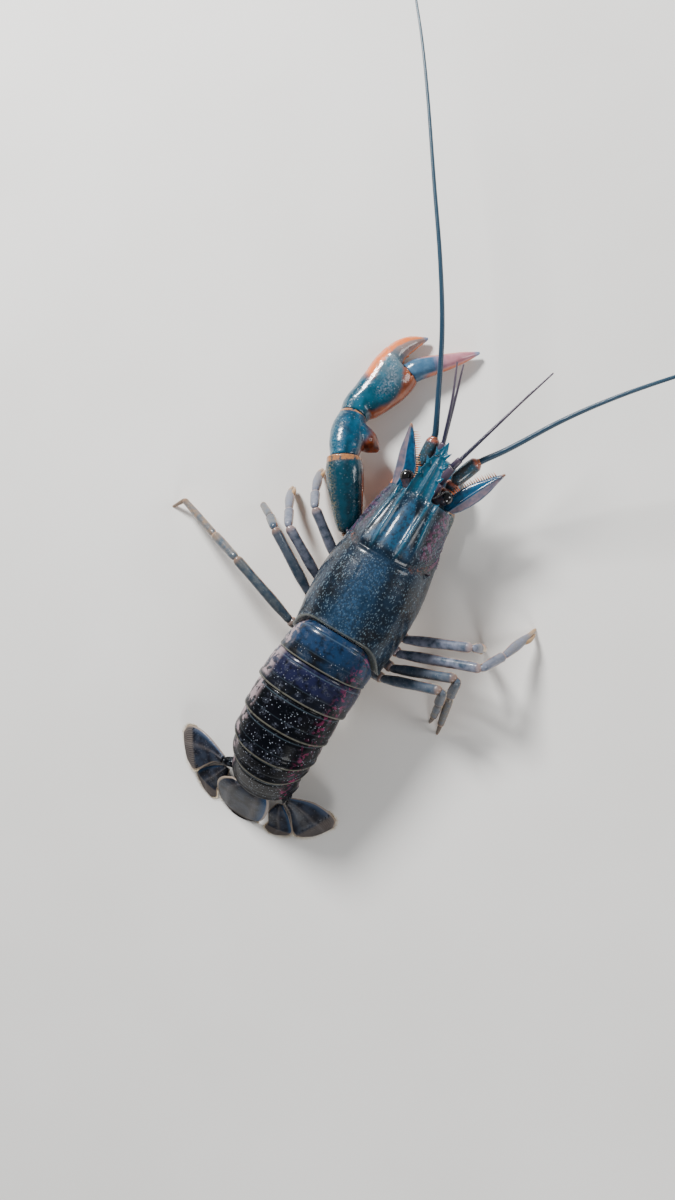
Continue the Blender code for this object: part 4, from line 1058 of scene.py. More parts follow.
def fan_paint(place):
    along, across = place.read("along"), place.read("across")
    cloud = place.grain(2.6)
    colour = cloud.rise(0.35, 0.65).tint(rgb(38, 44, 56), rgb(20, 21, 29))
    flecks = place.dots(0.8, 0.26, 0.12)
    colour = (flecks * 0.35 * cloud.rise(0.3, 0.6)).tint(colour, rgb(112, 110, 116))
    front = across.rise(0.2, 0.03) * along.rise(0.85, 0.5)
    colour = (front * 0.8).tint(colour, rgb(18, 60, 96))
    soft_part = place.read("soft")
    turns = across * RAY_TURNS
    rays = turns.maths("SINE", turns).rise(-0.4, 0.9)
    far = (rays * 0.4 + cloud * 0.5).tint(rgb(50, 47, 47), rgb(112, 102, 96))
    colour = (soft_part * 0.85).tint(colour, far)
    rib = place.read("rib")
    colour = (rib * 0.25).tint(colour, rgb(112, 106, 104))
    edge = place.read("edge")
    colour = (edge.rise(0.35, 0.8) * 0.6).tint(colour, rgb(164, 146, 126))
    relief = rays * soft_part * 0.05 + flecks * 0.03 + place.grain(0.5) * 0.03
    return colour, 0.34 + soft_part * 0.12, relief


fan_finish = finish("tail_fan_shell", fan_paint, **wet(0.02, 0.1))

# %% [markdown]
# Each blade lies between two edge lines from its root to its end. A solidified plane would be
# equally thick all over. Rings laid row by row let it be crowned, thin towards its soft end, and
# carry its ribs and its seam.

# %% Tail fan sizes
# Distance along, half width, lift and sideways shift
TELSON = (
    (0.5, 6.4, -1.4, 0.9), (3.0, 8.2, -0.9, 1.9), (7.5, 9.0, -0.7, 2.5), (12.5, 8.6, -0.6, 2.5),
    (16.5, 7.5, -0.5, 2.4), (19.0, 5.8, -0.5, 2.3), (20.3, 3.8, -0.6, 2.2),
)
# The outer paddles: points of the outer edge and of the inner edge
EXOPODS = {
    "left": (
        ((14.4, 51.2, 9.4), (14.2, 53.6, 9.2)), ((18.8, 50.0, 7.9), (17.0, 55.2, 7.4)),
        ((23.2, 49.2, 6.4), (18.9, 57.8, 5.8)), ((27.3, 49.2, 5.0), (20.4, 60.2, 4.4)),
        ((30.5, 50.5, 3.6), (22.2, 61.6, 3.1)), ((31.0, 53.0, 3.0), (25.2, 60.4, 2.5)),
    ),
    "right": (
        ((-8.4, 51.6, 9.2), (-8.8, 53.9, 9.1)), ((-12.0, 50.3, 7.8), (-11.2, 56.0, 7.4)),
        ((-16.0, 49.4, 6.2), (-12.9, 58.8, 5.8)), ((-20.3, 49.7, 4.8), (-14.6, 61.2, 4.4)),
        ((-23.6, 51.0, 3.6), (-16.9, 61.4, 3.2)), ((-24.2, 53.4, 3.0), (-20.0, 59.4, 2.6)),
    ),
}
# The inner paddles
ENDOPODS = {
    "left": (
        ((13.5, 53.9, 7.7), (11.3, 54.3, 8.0)), ((17.2, 56.4, 5.2), (10.9, 58.2, 6.0)),
        ((19.6, 58.8, 3.4), (11.6, 60.8, 3.6)), ((21.2, 61.2, 1.9), (12.9, 62.8, 1.6)),
        ((20.6, 63.0, 0.9), (12.0, 65.4, 0.5)), ((18.0, 64.9, 0.4), (13.2, 66.3, 0.3)),
    ),
    "right": (
        ((-8.0, 54.6, 7.6), (-6.3, 55.2, 7.8)), ((-10.8, 57.0, 5.4), (-5.0, 58.8, 5.9)),
        ((-12.6, 59.2, 3.6), (-5.2, 61.0, 3.4)), ((-14.0, 61.4, 2.0), (-5.9, 63.2, 1.4)),
        ((-13.4, 63.4, 0.9), (-5.6, 65.3, 0.5)), ((-11.4, 64.8, 0.4), (-7.6, 65.9, 0.3)),
    ),
}
PLATE_STEPS, PLATE_POINTS = 8, 33
HAIR_SPACING = 0.14

# %% Blades


def plate(rows, thickness, crown, up, soft_from, ribs, seam=None):
    """A thin blade between two edge lines. ribs are (share across, height)."""
    table = curve_through([(*one, *two) for one, two in rows], PLATE_STEPS)
    across = np.sin(np.linspace(-math.pi / 2, math.pi / 2, PLATE_POINTS)) * 0.5 + 0.5
    rings, marks = [], []
    count = len(table)
    centres = [Vector((row[:3] + row[3:]) / 2) for row in table]
    for i, row in enumerate(table):
        one, two = Vector(row[:3]), Vector(row[3:])
        along = centres[min(i + 1, count - 1)] - centres[max(i - 1, 0)]
        normal = (two - one).cross(along).normalized()
        if normal.dot(Vector(up)) < 0:
            normal = -normal
        share = i / (count - 1)
        soft = soft_step(share, soft_from - 0.03, soft_from + 0.02)
        thin = thickness * (1 - 0.35 * soft)
        upper, lower = [], []
        for t in across:
            body = thin / 2 * max(1 - abs(2 * t - 1)**5, 0.0)**0.5
            lift = crown * 4 * t * (1 - t)
            ridge = sum(h * bell(t - c, 0.045) for c, h in ribs) * (1 - 0.6 * soft)
            if seam:
                ridge -= 0.2 * bell(share - seam, 0.02)
            middle = one.lerp(two, t) + normal * lift
            upper.append(middle + normal * (body + ridge))
            lower.append(middle - normal * body)
            rib_mark = sum(bell(t - c, 0.05) for c, _ in ribs)
            edge = bell(min(t, 1 - t), 0.05)
            marks.append((t, soft, edge, min(rib_mark, 1.0)))
        marks += [(t, soft, bell(min(t, 1 - t), 0.05), 0.0) for t in across[-2:0:-1]]
        rings.append(upper + lower[-2:0:-1])
    marks += [(0.5, 0.0, 0.0, 0.0), (0.5, 1.0, 1.0, 0.0)]
    mesh = skin(rings)
    for k, name in enumerate(("across", "soft", "edge", "rib")):
        mark(mesh, name, [m[k] for m in marks])
    return mesh, table


# %% Hairs of a blade


def plate_fringe(table, start, length, seed):
    """Hairs round the far edge: along the outer edge, over the end and back along the inner edge."""
    first = int(start * (len(table) - 1))
    outer = [Vector(row[:3]) for row in table[first:]]
    inner = [Vector(row[3:]) for row in table[first:]]
    end = [outer[-1].lerp(inner[-1], t) for t in (0.25, 0.5, 0.75)]
    line = outer + end + inner[::-1]
    middle = (outer[0] + inner[0]) / 2
    axis = ((outer[-1] + inner[-1]) / 2 - middle).normalized()
    leans = []
    for p in line:
        away = (p - middle).normalized() * 0.6 + axis * 0.5
        leans.append(Vector((away.x, away.y, max(away.z, -0.2 if p.z > 2.5 else 0.05))))
    count = int(sum((b - a).length for a, b in zip(line, line[1:])) / HAIR_SPACING)
    return hairs_along(line, leans, Count=count, Length=length, Thickness=0.05, Untidy=0.1, Seed=seed)


# %% [markdown]
# Short spines end the telson's hard part, and a row of teeth runs along the seam of each outer
# paddle. They are thorns like the carapace's, but small, in the fan's own finish.

# %% Teeth of the tail fan
SEAM_AT, SEAM_TEETH = 0.69, 11


def dark_teeth(teeth):
    """Small spines in the fan's own finish, kept clear of its blue front edge."""
    mesh = merged(teeth)
    mark(mesh, "across", np.full(len(mesh.vertices), 0.5))
    return mesh


def telson_spines(rows):
    """One short spine on each side, where the hard part of the telson ends."""
    spines = []
    for way, side in enumerate((-1, 1)):
        root, out = rows[4][way], Vector((0.8 * side, 0, 0))
        tip = root + out * 0.3 + (rows[5][way] - root) * 0.55
        spines.append(thorn(root - out * 0.9, tip, 0.42))
    return dark_teeth(spines)


def seam_teeth(table):
    """The row of teeth where the outer paddle turns soft."""
    row = table[int(SEAM_AT * (len(table) - 1))]
    one, two = Vector(row[:3]), Vector(row[3:])
    way = (Vector(table[-1][:3]) - Vector(table[-12][:3])).normalized()
    teeth = []
    for t in np.linspace(0.06, 0.94, SEAM_TEETH):
        root = one.lerp(two, t) + Vector((0, 0, 0.45 + 2.0 * t * (1 - t)))
        teeth.append(thorn(root - way * 0.2, root + way * 0.75, 0.2))
    return dark_teeth(teeth)


# %% Tail fan
FAN_HAIR = 1.3
# Thickness, crown, way up, where the soft part starts, ribs as (share across, height)
TELSON_PLATE = 1.1, 0.7, (0, 1, 1), 0.72, ((0.24, 0.16), (0.76, 0.16))
OUTER_PLATE = 0.9, 0.5, (0, 0, 1), 0.7, ((0.42, 0.22), (0.07, 0.12))
INNER_PLATE = 0.9, 0.5, (0, 1, 1), 0.68, ((0.5, 0.22),)
# The base's root: how far across and how far down, and its clearance
PROTOPOD_ACROSS, PROTOPOD_DEPTH, PROTOPOD_GAP = 8.0, 6.6, 2.1 * GAP


def place_blade(name, node, mesh, table, hair_from, seed):
    place_piece(name, mesh, fan_finish, [node])
    hairs = plate_fringe(table, hair_from, FAN_HAIR, seed)
    place_piece(name + "_hairs", hairs, pale_hair)


def telson_rows():
    x, y, z, _ = abdomen_joints()[-1]
    line = (x, y, z, TELSON_PITCH)
    rows = []
    for along, half_width, lift, shift in TELSON:
        centre = joint_point(line, shift, -lift, along)
        rows.append((centre - Vector((half_width, 0, 0)), centre + Vector((half_width, 0, 0))))
    return rows


def build_fan():
    rows = telson_rows()
    mesh, table = plate(rows, *TELSON_PLATE)
    place_blade("telson_plate", "telson", mesh, table, 0.74, seed=3)
    place_piece("telson_spines", telson_spines(rows), fan_finish)
    for name in SIDES:
        mesh, table = plate(EXOPODS[name], *OUTER_PLATE, seam=SEAM_AT)
        place_blade(f"tail_{name}_outer_paddle", f"uropod_{name}_exopod", mesh, table, 0.62, seed=4)
        place_piece(f"tail_{name}_seam_teeth", seam_teeth(table), fan_finish)
        mesh, table = plate(ENDOPODS[name], *INNER_PLATE)
        place_blade(f"tail_{name}_inner_paddle", f"uropod_{name}_endopod", mesh, table, 0.62, seed=5)


build_fan()

# %% Bases of the fan


def build_tail_bases():
    plane = abdomen_joints()[-1]
    turn = math.radians(plane[3])
    out = Vector((0, math.cos(turn), -math.sin(turn)))
    for name, side in SIDES.items():
        root = joint_point(plane, side * PROTOPOD_ACROSS, PROTOPOD_DEPTH, 0.9 * GAP)
        knee = root + out * 1.5 + Vector((side * 0.8, 0, 0))
        first, second = ((Vector(a) + Vector(b)) / 2 for a, b in EXOPODS[name][:2])
        toward = (second - first).normalized()
        rows = ((root, 1.7, 1.8), (knee, 1.8, 1.7), (first - toward * PROTOPOD_GAP, 1.3, 1.1))
        spine = thorn(knee + Vector((side * 1.0, 0, 0.9)), knee + Vector((side * 2.2, 1.0, 1.5)), 0.5)
        mesh = merged([limb(rows, sides=20, steps=6, start=out, end=toward), spine])
        place_piece(f"tail_{name}_base", mesh, somite_finishes[2], [f"uropod_{name}_base"])


build_tail_bases()
print("tail fan pieces", count_pieces("tail", "telson"))

# %% [markdown]
# The claw arm runs from a teal upper arm to the great pincer, which turns grey-blue and carries a
# broad orange margin on the side of its fixed finger. The moving finger is pink. Patterns laid in
# space would break at each bend of the arm, so each point keeps how far along the arm it lies, how
# far outwards and how far up.

# %% Claw finishes
CLAW_TEAL, CLAW_DEEP, CLAW_BLUE = rgb(8, 50, 64), rgb(3, 20, 30), rgb(20, 82, 104)
CLAW_GREY, CLAW_PINK, TIP_BLUE = rgb(100, 116, 124), rgb(186, 128, 138), rgb(112, 128, 158)
CLAW_ORANGE, CLAW_BROWN = rgb(222, 112, 52), rgb(140, 66, 30)


def arm_paint(under, over, outer_tone):
    def paint(place):
        along, outer, above = place.read("along"), place.read("outer"), place.read("above")
        cloud = place.grain(3.2)
        colour = cloud.rise(0.3, 0.7).tint(under, over)
        dark = outer.near(-0.15, 0.3) * place.grain(4.0).rise(0.3, 0.6) * above.rise(0.0, 0.6)
        colour = (dark * 0.6).tint(colour, CLAW_DEEP)
        gold = outer.rise(0.35, 0.8) * place.grain(0.5).rise(0.42, 0.62)
        colour = (gold * 0.6).tint(colour, outer_tone)
        flecks = place.dots(0.85, 0.26, 0.12) * place.grain(2.6).rise(0.4, 0.6)
        colour = (flecks * 0.22).tint(colour, rgb(150, 176, 188))
        mesial = outer.rise(-0.45, -0.8) * above.rise(0.7, -0.1)
        colour = (mesial * 0.8 * cloud.rise(0.2, 0.5)).tint(colour, CLAW_BROWN)
        colour = (above.rise(-0.35, -0.8) * 0.8).tint(colour, rgb(176, 124, 84))
        band = along.rise(0.925, 0.96) * place.grain(1.2).rise(0.3, 0.5)
        colour = (band * 0.8).tint(colour, rgb(170, 112, 66))
        stain = place.grain(1.6).rise(0.35, 0.65).tint(CLAW_BROWN, rgb(92, 40, 22))
        colour = place.read("tips").rise(0.0, 0.5).tint(colour, stain)
        relief = flecks * 0.03 + place.grain(0.7) * 0.09 + place.grain(0.22) * 0.014
        return colour, 0.2 + cloud * 0.16, relief
    return paint


# %% Pincer finishes


def pincer_paint(place):
    along, outer, above = place.read("along"), place.read("outer"), place.read("above")
    cloud = place.grain(3.4)
    colour = cloud.rise(0.3, 0.7).tint(rgb(10, 60, 76), CLAW_BLUE)
    grey = cloud.rise(0.3, 0.7).tint(CLAW_GREY, rgb(60, 98, 112))
    colour = (along.rise(0.3, 0.6) * 0.85).tint(colour, grey)
    colour = (along.rise(0.58, 0.78) * 0.8).tint(colour, rgb(148, 124, 116))
    # Painted highlight: a pale grey sheen patch along the middle of the palm.
    sheen = outer.near(-0.2, 0.5) * along.near(0.45, 0.25) * place.grain(0.6).rise(0.42, 0.62)
    colour = (sheen * 0.4).tint(colour, rgb(150, 158, 174))
    flecks = place.dots(0.9, 0.24, 0.12) * place.grain(2.4).rise(0.42, 0.62)
    colour = (flecks * 0.26).tint(colour, WHITE)
    reach = along.rise(0.26, 0.42) * along.rise(0.97, 0.92)
    margin = (outer + along.rise(0.5, 0.72) * 0.3).rise(0.38, 0.6) * reach
    orange = place.grain(1.6).rise(0.2, 0.6).tint(rgb(196, 128, 88), CLAW_ORANGE)
    colour = (margin * 0.95).tint(colour, orange)
    mesial = outer.rise(-0.62, -0.85) * along.rise(0.02, 0.12) * along.rise(0.62, 0.5)
    colour = (mesial * 0.9).tint(colour, cloud.rise(0.35, 0.65).tint(CLAW_BROWN, rgb(176, 96, 52)))
    colour = (above.rise(-0.3, -0.75) * 0.85).tint(colour, rgb(186, 122, 76))
    tips = place.read("tips")
    colour = (tips * 0.85).tint(colour, rgb(206, 120, 66))
    colour = along.rise(0.95, 0.985).tint(colour, TIP_BLUE)
    relief = flecks * 0.03 + place.grain(0.8) * 0.07 + place.grain(0.22) * 0.014
    return colour, 0.17 + cloud * 0.16, relief


def moving_finger_paint(place):
    along, outer, above = place.read("along"), place.read("outer"), place.read("above")
    cloud = place.grain(2.4)
    colour = cloud.rise(0.3, 0.7).tint(rgb(76, 110, 138), rgb(50, 88, 116))
    pink = cloud.rise(0.3, 0.7).tint(CLAW_PINK, rgb(168, 106, 116))
    colour = (along.rise(0.3, 0.55) * 0.95).tint(colour, pink)
    edge = abs(outer).rise(0.65, 0.92) * along.rise(0.12, 0.3)
    colour = (edge * 0.8).tint(colour, rgb(204, 108, 58))
    colour = (above.rise(-0.3, -0.75) * 0.7).tint(colour, rgb(190, 124, 84))
    colour = (place.read("tips") * 0.8).tint(colour, rgb(210, 126, 76))
    colour = along.rise(0.88, 0.97).tint(colour, TIP_BLUE)
    return colour, 0.2 + cloud * 0.14, place.grain(0.8) * 0.06 + place.grain(0.22) * 0.014


ARM_TONES = CLAW_TEAL, rgb(12, 56, 72), rgb(124, 112, 84)
WRIST_TONES = rgb(14, 76, 102), rgb(7, 50, 72), rgb(84, 124, 136)
arm_finish = finish("claw_arm_shell", arm_paint(*ARM_TONES), **wet(0.6))
wrist_finish = finish("claw_wrist_shell", arm_paint(*WRIST_TONES), **wet(0.6))
pincer_finish = finish("claw_pincer_shell", pincer_paint, **wet(0.6))
moving_finish = finish("claw_moving_finger_shell", moving_finger_paint, **wet(0.6))


def skin_paint(deep, pale):
    def paint(place):
        cloud = place.grain(1.2)
        return cloud.rise(0.3, 0.7).tint(deep, pale), 0.35, place.grain(0.4) * 0.06
    return paint


membrane_finish = finish("joint_membrane", skin_paint(rgb(142, 66, 40), rgb(176, 116, 76)), **wet(0.3))

# %% [markdown]
# A claw has five hard segments. One table holds the middle points of their routes in the pose, and
# another the half width and half height there. So the right claw is the left one's build, a little
# slimmer, on another route.

# %% Claw sizes
STERNUM_LOW_HALF, STERNUM_LOW, STERNUM_SLOPE = 4.6, 6.9, 0.444
CLAW_LEGS = {
    "left": {
        "base": ((9.6, -20.9, 6.8), (12.6, -23.8, 8.1), (15.4, -26.8, 10.4)),
        "merus": ((17.2, -28.8, 11.3), (21.0, -34.4, 12.4), (25.0, -40.7, 13.4), (27.3, -44.2, 13.6)),
        "carpus": ((29.2, -48.2, 12.4), (31.1, -52.6, 10.8), (32.6, -57.0, 8.7)),
        "knob": ((28.3, -53.0, 10.4), (20.5, -51.8, 8.0)),
        "palm": ((33.0, -60.8, 6.6), (31.6, -65.2, 5.3), (29.9, -71.0, 4.7), (29.2, -75.2, 4.5),
                 (28.7, -78.4, 4.4)),
        "finger": ((31.7, -77.0, 4.2), (32.1, -80.4, 4.0), (30.9, -84.0, 3.4), (28.9, -87.0, 2.7),
                   (25.9, -90.3, 2.0)),
        "dactyl": ((24.9, -77.5, 4.4), (22.6, -80.6, 4.3), (17.6, -85.4, 3.6), (13.5, -89.6, 2.8),
                   (9.7, -93.6, 1.9)),
        "tilt": (-0.15, 0.05, 1.0),
        "girth": 1.0,
    },
    "right": {
        "base": ((-8.6, -21.8, 5.9), (-8.6, -25.2, 5.1), (-7.8, -28.4, 4.8)),
        "merus": ((-7.1, -31.6, 4.7), (-6.1, -36.8, 4.7), (-4.8, -43.4, 4.6), (-4.4, -46.2, 4.6)),
        "carpus": ((-4.2, -49.6, 4.6), (-3.0, -53.2, 4.6), (0.3, -55.9, 4.6)),
        "knob": ((-2.6, -52.0, 4.7), (0.6, -49.0, 4.6)),
        "palm": ((4.2, -55.6, 4.5), (6.3, -53.0, 4.4), (7.0, -48.6, 4.3), (6.9, -43.4, 4.2),
                 (6.8, -40.4, 4.2)),
        "finger": ((9.2, -41.0, 4.1), (9.7, -38.0, 3.9), (9.4, -34.6, 3.4), (8.2, -31.4, 2.7),
                   (5.9, -28.6, 2.0)),
        "dactyl": ((2.9, -39.5, 4.1), (2.6, -37.4, 3.8), (2.3, -33.8, 3.1), (2.4, -30.8, 2.5),
                   (3.3, -27.8, 1.8)),
        "tilt": (0.0, 0.0, 1.0),
        "girth": 0.84,
    },
}
# Half width and half height at the points of each route
CLAW_SIZES = {
    "base": ((2.1, 1.6), (2.4, 2.0), (2.7, 2.4), (2.8, 2.6), (3.1, 2.8)),
    "merus": ((3.4, 3.0), (4.1, 3.8), (5.1, 4.4), (5.7, 4.9), (5.2, 4.5)),
    "carpus": ((4.2, 3.8), (5.1, 4.5), (5.2, 4.6), (4.3, 4.0)),
    "propodus": ((4.1, 3.8), (5.1, 4.5), (6.2, 5.1), (7.2, 5.3), (7.6, 5.2), (7.2, 4.8)),
}
FINGER_SIZES = ((3.8, 3.9), (3.4, 3.6), (2.9, 3.1), (2.1, 2.5), (0.4, 0.5))
DACTYL_SIZES = ((3.3, 3.3), (3.3, 3.4), (2.6, 2.8), (1.75, 2.1), (0.4, 0.5))
# The wrist's knob: share of its reach, radius. Then how far its stain reaches.
KNOB, KNOB_STAIN = ((0.0, 3.9), (0.45, 3.5), (0.75, 2.4), (1.0, 0.7)), 7.5
# Share along the finger and size of each tooth
BITING_TEETH = ((0.16, 0.6), (0.27, 0.95), (0.37, 0.6), (0.46, 1.15), (0.56, 0.65), (0.65, 0.85),
                (0.73, 0.55), (0.8, 0.5), (0.87, 0.4))
TOOTH_STAIN = 1.3
CHELIPED_ROW, CHELIPED_ROOT = -20.0, 7.9
# Voxel of the remesh, height of the lumps
CLAW_SKIN, FINGER_SKIN = (0.28, 0.09), (0.25, 0.06)
# A joint's skin: share of its reach, share of the shell's radius
KNUCKLE = ((-1.0, 0.62), (-0.35, 0.8), (0.1, 0.7), (0.5, 0.8), (1.1, 0.62))

# %% Routes and marks


def knob_rows(root, tip, girth):
    return [(Vector(root).lerp(Vector(tip), share), radius * girth, radius * girth) for share, radius in KNOB]


def limb_root(y, side, z):
    """Where a limb leaves the slope of the sternum, and the way that it leaves."""
    outward = Vector((side, 0.0, -STERNUM_SLOPE)).normalized()
    x = STERNUM_LOW_HALF + STERNUM_SLOPE * (z - STERNUM_LOW)
    return Vector((side * x, y, z)) + outward * GAP, outward


def sized(points, sizes, girth):
    return [(Vector(p), w * girth, h * girth) for p, (w, h) in zip(points, sizes)]


def trace(mesh, rows, up, outer_sign, tips=()):
    """Marks how far along, how far outwards and how far up each point lies from a route."""
    table = curve_through([(*c, w, h) for c, w, h in rows], 8)
    centres, sizes = table[:, :3], table[:, 3:]
    share = run_along(centres) / run_along(centres)[-1]
    points = points_of(mesh)
    nearest = np.linalg.norm(points[:, None] - centres[None], axis=2).argmin(1)
    padded = np.concatenate([centres[:1], centres, centres[-1:]])
    along = padded[2:] - padded[:-2]
    across = np.cross(along, np.array(up, float))
    across /= np.linalg.norm(across, axis=1)[:, None]
    rise = np.cross(across, along)
    rise /= np.linalg.norm(rise, axis=1)[:, None]
    away = points - centres[nearest]
    mark(mesh, "along", share[nearest])
    mark(mesh, "outer", outer_sign * (away * across[nearest]).sum(1) / np.maximum(sizes[nearest, 0], 0.5))
    mark(mesh, "above", (away * rise[nearest]).sum(1) / np.maximum(sizes[nearest, 1], 0.5))
    marks = np.zeros(len(points))
    for tip, reach in tips:
        away_from_tip = np.linalg.norm(points - np.array(tuple(tip)), axis=1)
        marks = np.maximum(marks, 1 - soft_step(away_from_tip, 0.4 * reach, reach))
    mark(mesh, "tips", marks)


# %% Teeth and joints of the claws


def biting_teeth(rows, toward, girth):
    """Blunt teeth of uneven size along a finger's biting edge."""
    teeth, tips = [], []
    table = curve_through([(*c, w, h) for c, w, h in rows], 10)
    for share, size in BITING_TEETH:
        k = int(share * (len(table) - 1))
        along = Vector(table[k + 1][:3] - table[k - 1][:3]).normalized()
        out = (toward - along * toward.dot(along)).normalized()
        root = Vector(table[k][:3]) + out * (table[k][3] - 0.9 * girth)
        tip = root + out * (0.9 + 0.75 * size) * girth
        teeth.append(thorn(root, tip, 0.55 + 0.35 * size))
        tips.append((tip, TOOTH_STAIN))
    return teeth, tips


# %% Joints of the claws


def finger_hinge(pose):
    """The way that the palm's end and the moving finger's root face."""
    palm = Vector(pose["palm"][-1]) - Vector(pose["palm"][-2])
    finger = Vector(pose["dactyl"][1]) - Vector(pose["dactyl"][0])
    return palm.normalized() + finger.normalized()


def outer_way(pose):
    """1 or -1: the side of the arm that the fixed finger lies on."""
    along = Vector(pose["palm"][-1]) - Vector(pose["palm"][0])
    apart = Vector(pose["finger"][2]) - Vector(pose["dactyl"][2])
    return math.copysign(1.0, along.cross(Vector(pose["tilt"])).dot(apart))


def claw_chain(name, side):
    """The arm's segments: name, route, and the ways that their two end faces look."""
    pose = CLAW_LEGS[name]
    root, outward = limb_root(CHELIPED_ROW, side, CHELIPED_ROOT)
    base = [root, root + outward * 1.2, *(Vector(p) for p in pose["base"])]
    lists = [base] + [[Vector(p) for p in pose[key]] for key in ("merus", "carpus", "palm")]
    faces = [outward]
    for one, two in zip(lists, lists[1:]):
        facing = (two[0] - one[-2]).normalized()
        faces.append(facing)
        two.insert(0, one[-1] + facing * GAP)
    faces.append(finger_hinge(pose))
    return list(zip(("base", "merus", "carpus", "propodus"), lists, faces, faces[1:]))


def knuckle(centre, facing, half_width, half_height, reach=1.2):
    """The soft folded skin inside a joint, narrower than the shells that it ties together."""
    rows = [(centre + facing * way * reach, size * half_width, size * half_height) for way, size in KNUCKLE]
    return limb(rows, power=1.0, steps=4)


# %% [markdown]
# The wrist's knob, the fixed finger and the teeth grow out of their segments without a seam, so the
# parts of each segment are melted together. Low lumps of noise then take away the turned look.

# %% Claws


def place_shell(node, parts, voxel, lumps, route, pose, tips, coat):
    """Melts the parts of one claw piece together, roughens, marks and places it."""
    mesh = melted(parts, voxel, relax=5)
    points = points_of(mesh)
    raise_skin(mesh, lumps * speckle(points, 2.4) + 0.5 * lumps * speckle(points, 0.9, 3.0))
    trace(mesh, route, pose["tilt"], outer_way(pose), tips)
    place_piece(node + "_shell", mesh, coat, [node])


def build_claw(name, side):
    pose = CLAW_LEGS[name]
    tilt, girth = pose["tilt"], pose["girth"]
    bite = (Vector(pose["dactyl"][2]) - Vector(pose["finger"][2])).normalized()
    node = f"cheliped_{name}_"
    folds = []
    for key, points, start, end in claw_chain(name, side):
        rows = sized(points, CLAW_SIZES[key], girth)
        parts = [limb(rows, tilt, sides=40, steps=7, start=start, end=end, rounded=0.3)]
        tips, route, coat = [], rows, arm_finish
        if key == "carpus":
            parts.append(limb(knob_rows(*pose["knob"], girth), power=1.0))
            tips, coat = [(pose["knob"][1], KNOB_STAIN * girth)], wrist_finish
        if key == "propodus":
            finger_rows = sized(pose["finger"], FINGER_SIZES, girth)
            teeth, tips = biting_teeth(finger_rows, bite, girth)
            parts += [limb(finger_rows, tilt, sides=32, steps=8), *teeth]
            route, coat = rows[:4] + finger_rows[1:], pincer_finish
        place_shell(node + key, parts, *CLAW_SKIN, route, pose, tips, coat)
        if key != "base":
            folds.append(knuckle(points[0] - start * GAP / 2, start, rows[0][1], rows[0][2]))
    rows = sized(pose["dactyl"], DACTYL_SIZES, girth)
    teeth, tips = biting_teeth(rows, -bite, girth)
    body = limb(rows, tilt, sides=32, steps=8, start=finger_hinge(pose))
    place_shell(node + "dactyl", [body, *teeth], *FINGER_SKIN, rows, pose, tips, moving_finish)
    way = finger_hinge(pose).normalized()
    folds.append(knuckle(rows[0][0] - way * GAP / 2, way, rows[0][1], rows[0][2], reach=1.0))
    place_piece(node + "joint_skins", merged(folds), membrane_finish)


for name, side in SIDES.items():
    build_claw(name, side)
print("claw pieces", count_pieces("cheliped"))

# %% [markdown]
# The legs are slate blue near the body, turn tan or brown towards the tips, and are cream and
# orange below. The finish reads how far out along the whole leg a point lies, so the change runs
# on over the joints.

# %% Leg finishes


def leg_paint(near_tone, far_tone, end_tone):
    def paint(place):
        reach, above = place.read("reach"), place.read("above")
        cloud = place.grain(2.0)
        colour = cloud.rise(0.35, 0.75).tint(near_tone, rgb(46, 64, 80))
        colour = (reach.rise(0.4, 0.75) * 0.9).tint(colour, cloud.rise(0.3, 0.7).tint(far_tone, near_tone))
        colour = (reach.rise(0.84, 0.93) * 0.9).tint(colour, end_tone)
        flecks = place.dots(0.7, 0.26, 0.12) * place.grain(1.6).rise(0.4, 0.6)
        colour = (flecks * 0.3).tint(colour, rgb(150, 158, 160))
        colour = (place.read("collar") * 0.28).tint(colour, rgb(186, 130, 78))
        under = cloud.rise(0.4, 0.6).tint(CREAM, rgb(196, 124, 72))
        colour = (above.rise(0.6, 0.0) * 0.75).tint(colour, under)
        return colour, 0.26 + cloud * 0.16, flecks * 0.025 + place.grain(0.5) * 0.04
    return paint


LEG_TONES = {
    "front": (rgb(114, 118, 134), rgb(112, 112, 114), rgb(166, 130, 84)),
    "back": (rgb(78, 86, 98), rgb(96, 86, 70), rgb(76, 58, 42)),
    "tan": (rgb(80, 88, 94), rgb(134, 108, 82), rgb(104, 80, 58)),
}
leg_finishes = {key: finish(f"{key}_leg_shell", leg_paint(*tones), **wet(0.4))
                for key, tones in LEG_TONES.items()}
leg_skin_finish = finish("leg_membrane", skin_paint(rgb(70, 60, 60), rgb(116, 96, 84)), **wet(0.2))

# %% [markdown]
# Four pairs of walking legs stand on their tips, and the second and third pairs end in small
# pincers. A rig could pose them, but as they never move, the places of their joints are given, and
# each hard segment is a barrel with a narrow neck and a flared end.

# %% Leg sizes
LEG_ROWS, LEG_ROOT = {2: -11.0, 3: -5.0, 4: 1.0, 5: 6.8}, 8.3
LEG_HAIRS = {2: 18, 3: 18, 4: 18, 5: 26}
BARREL_SIDES, BARREL_STEPS = 20, 7
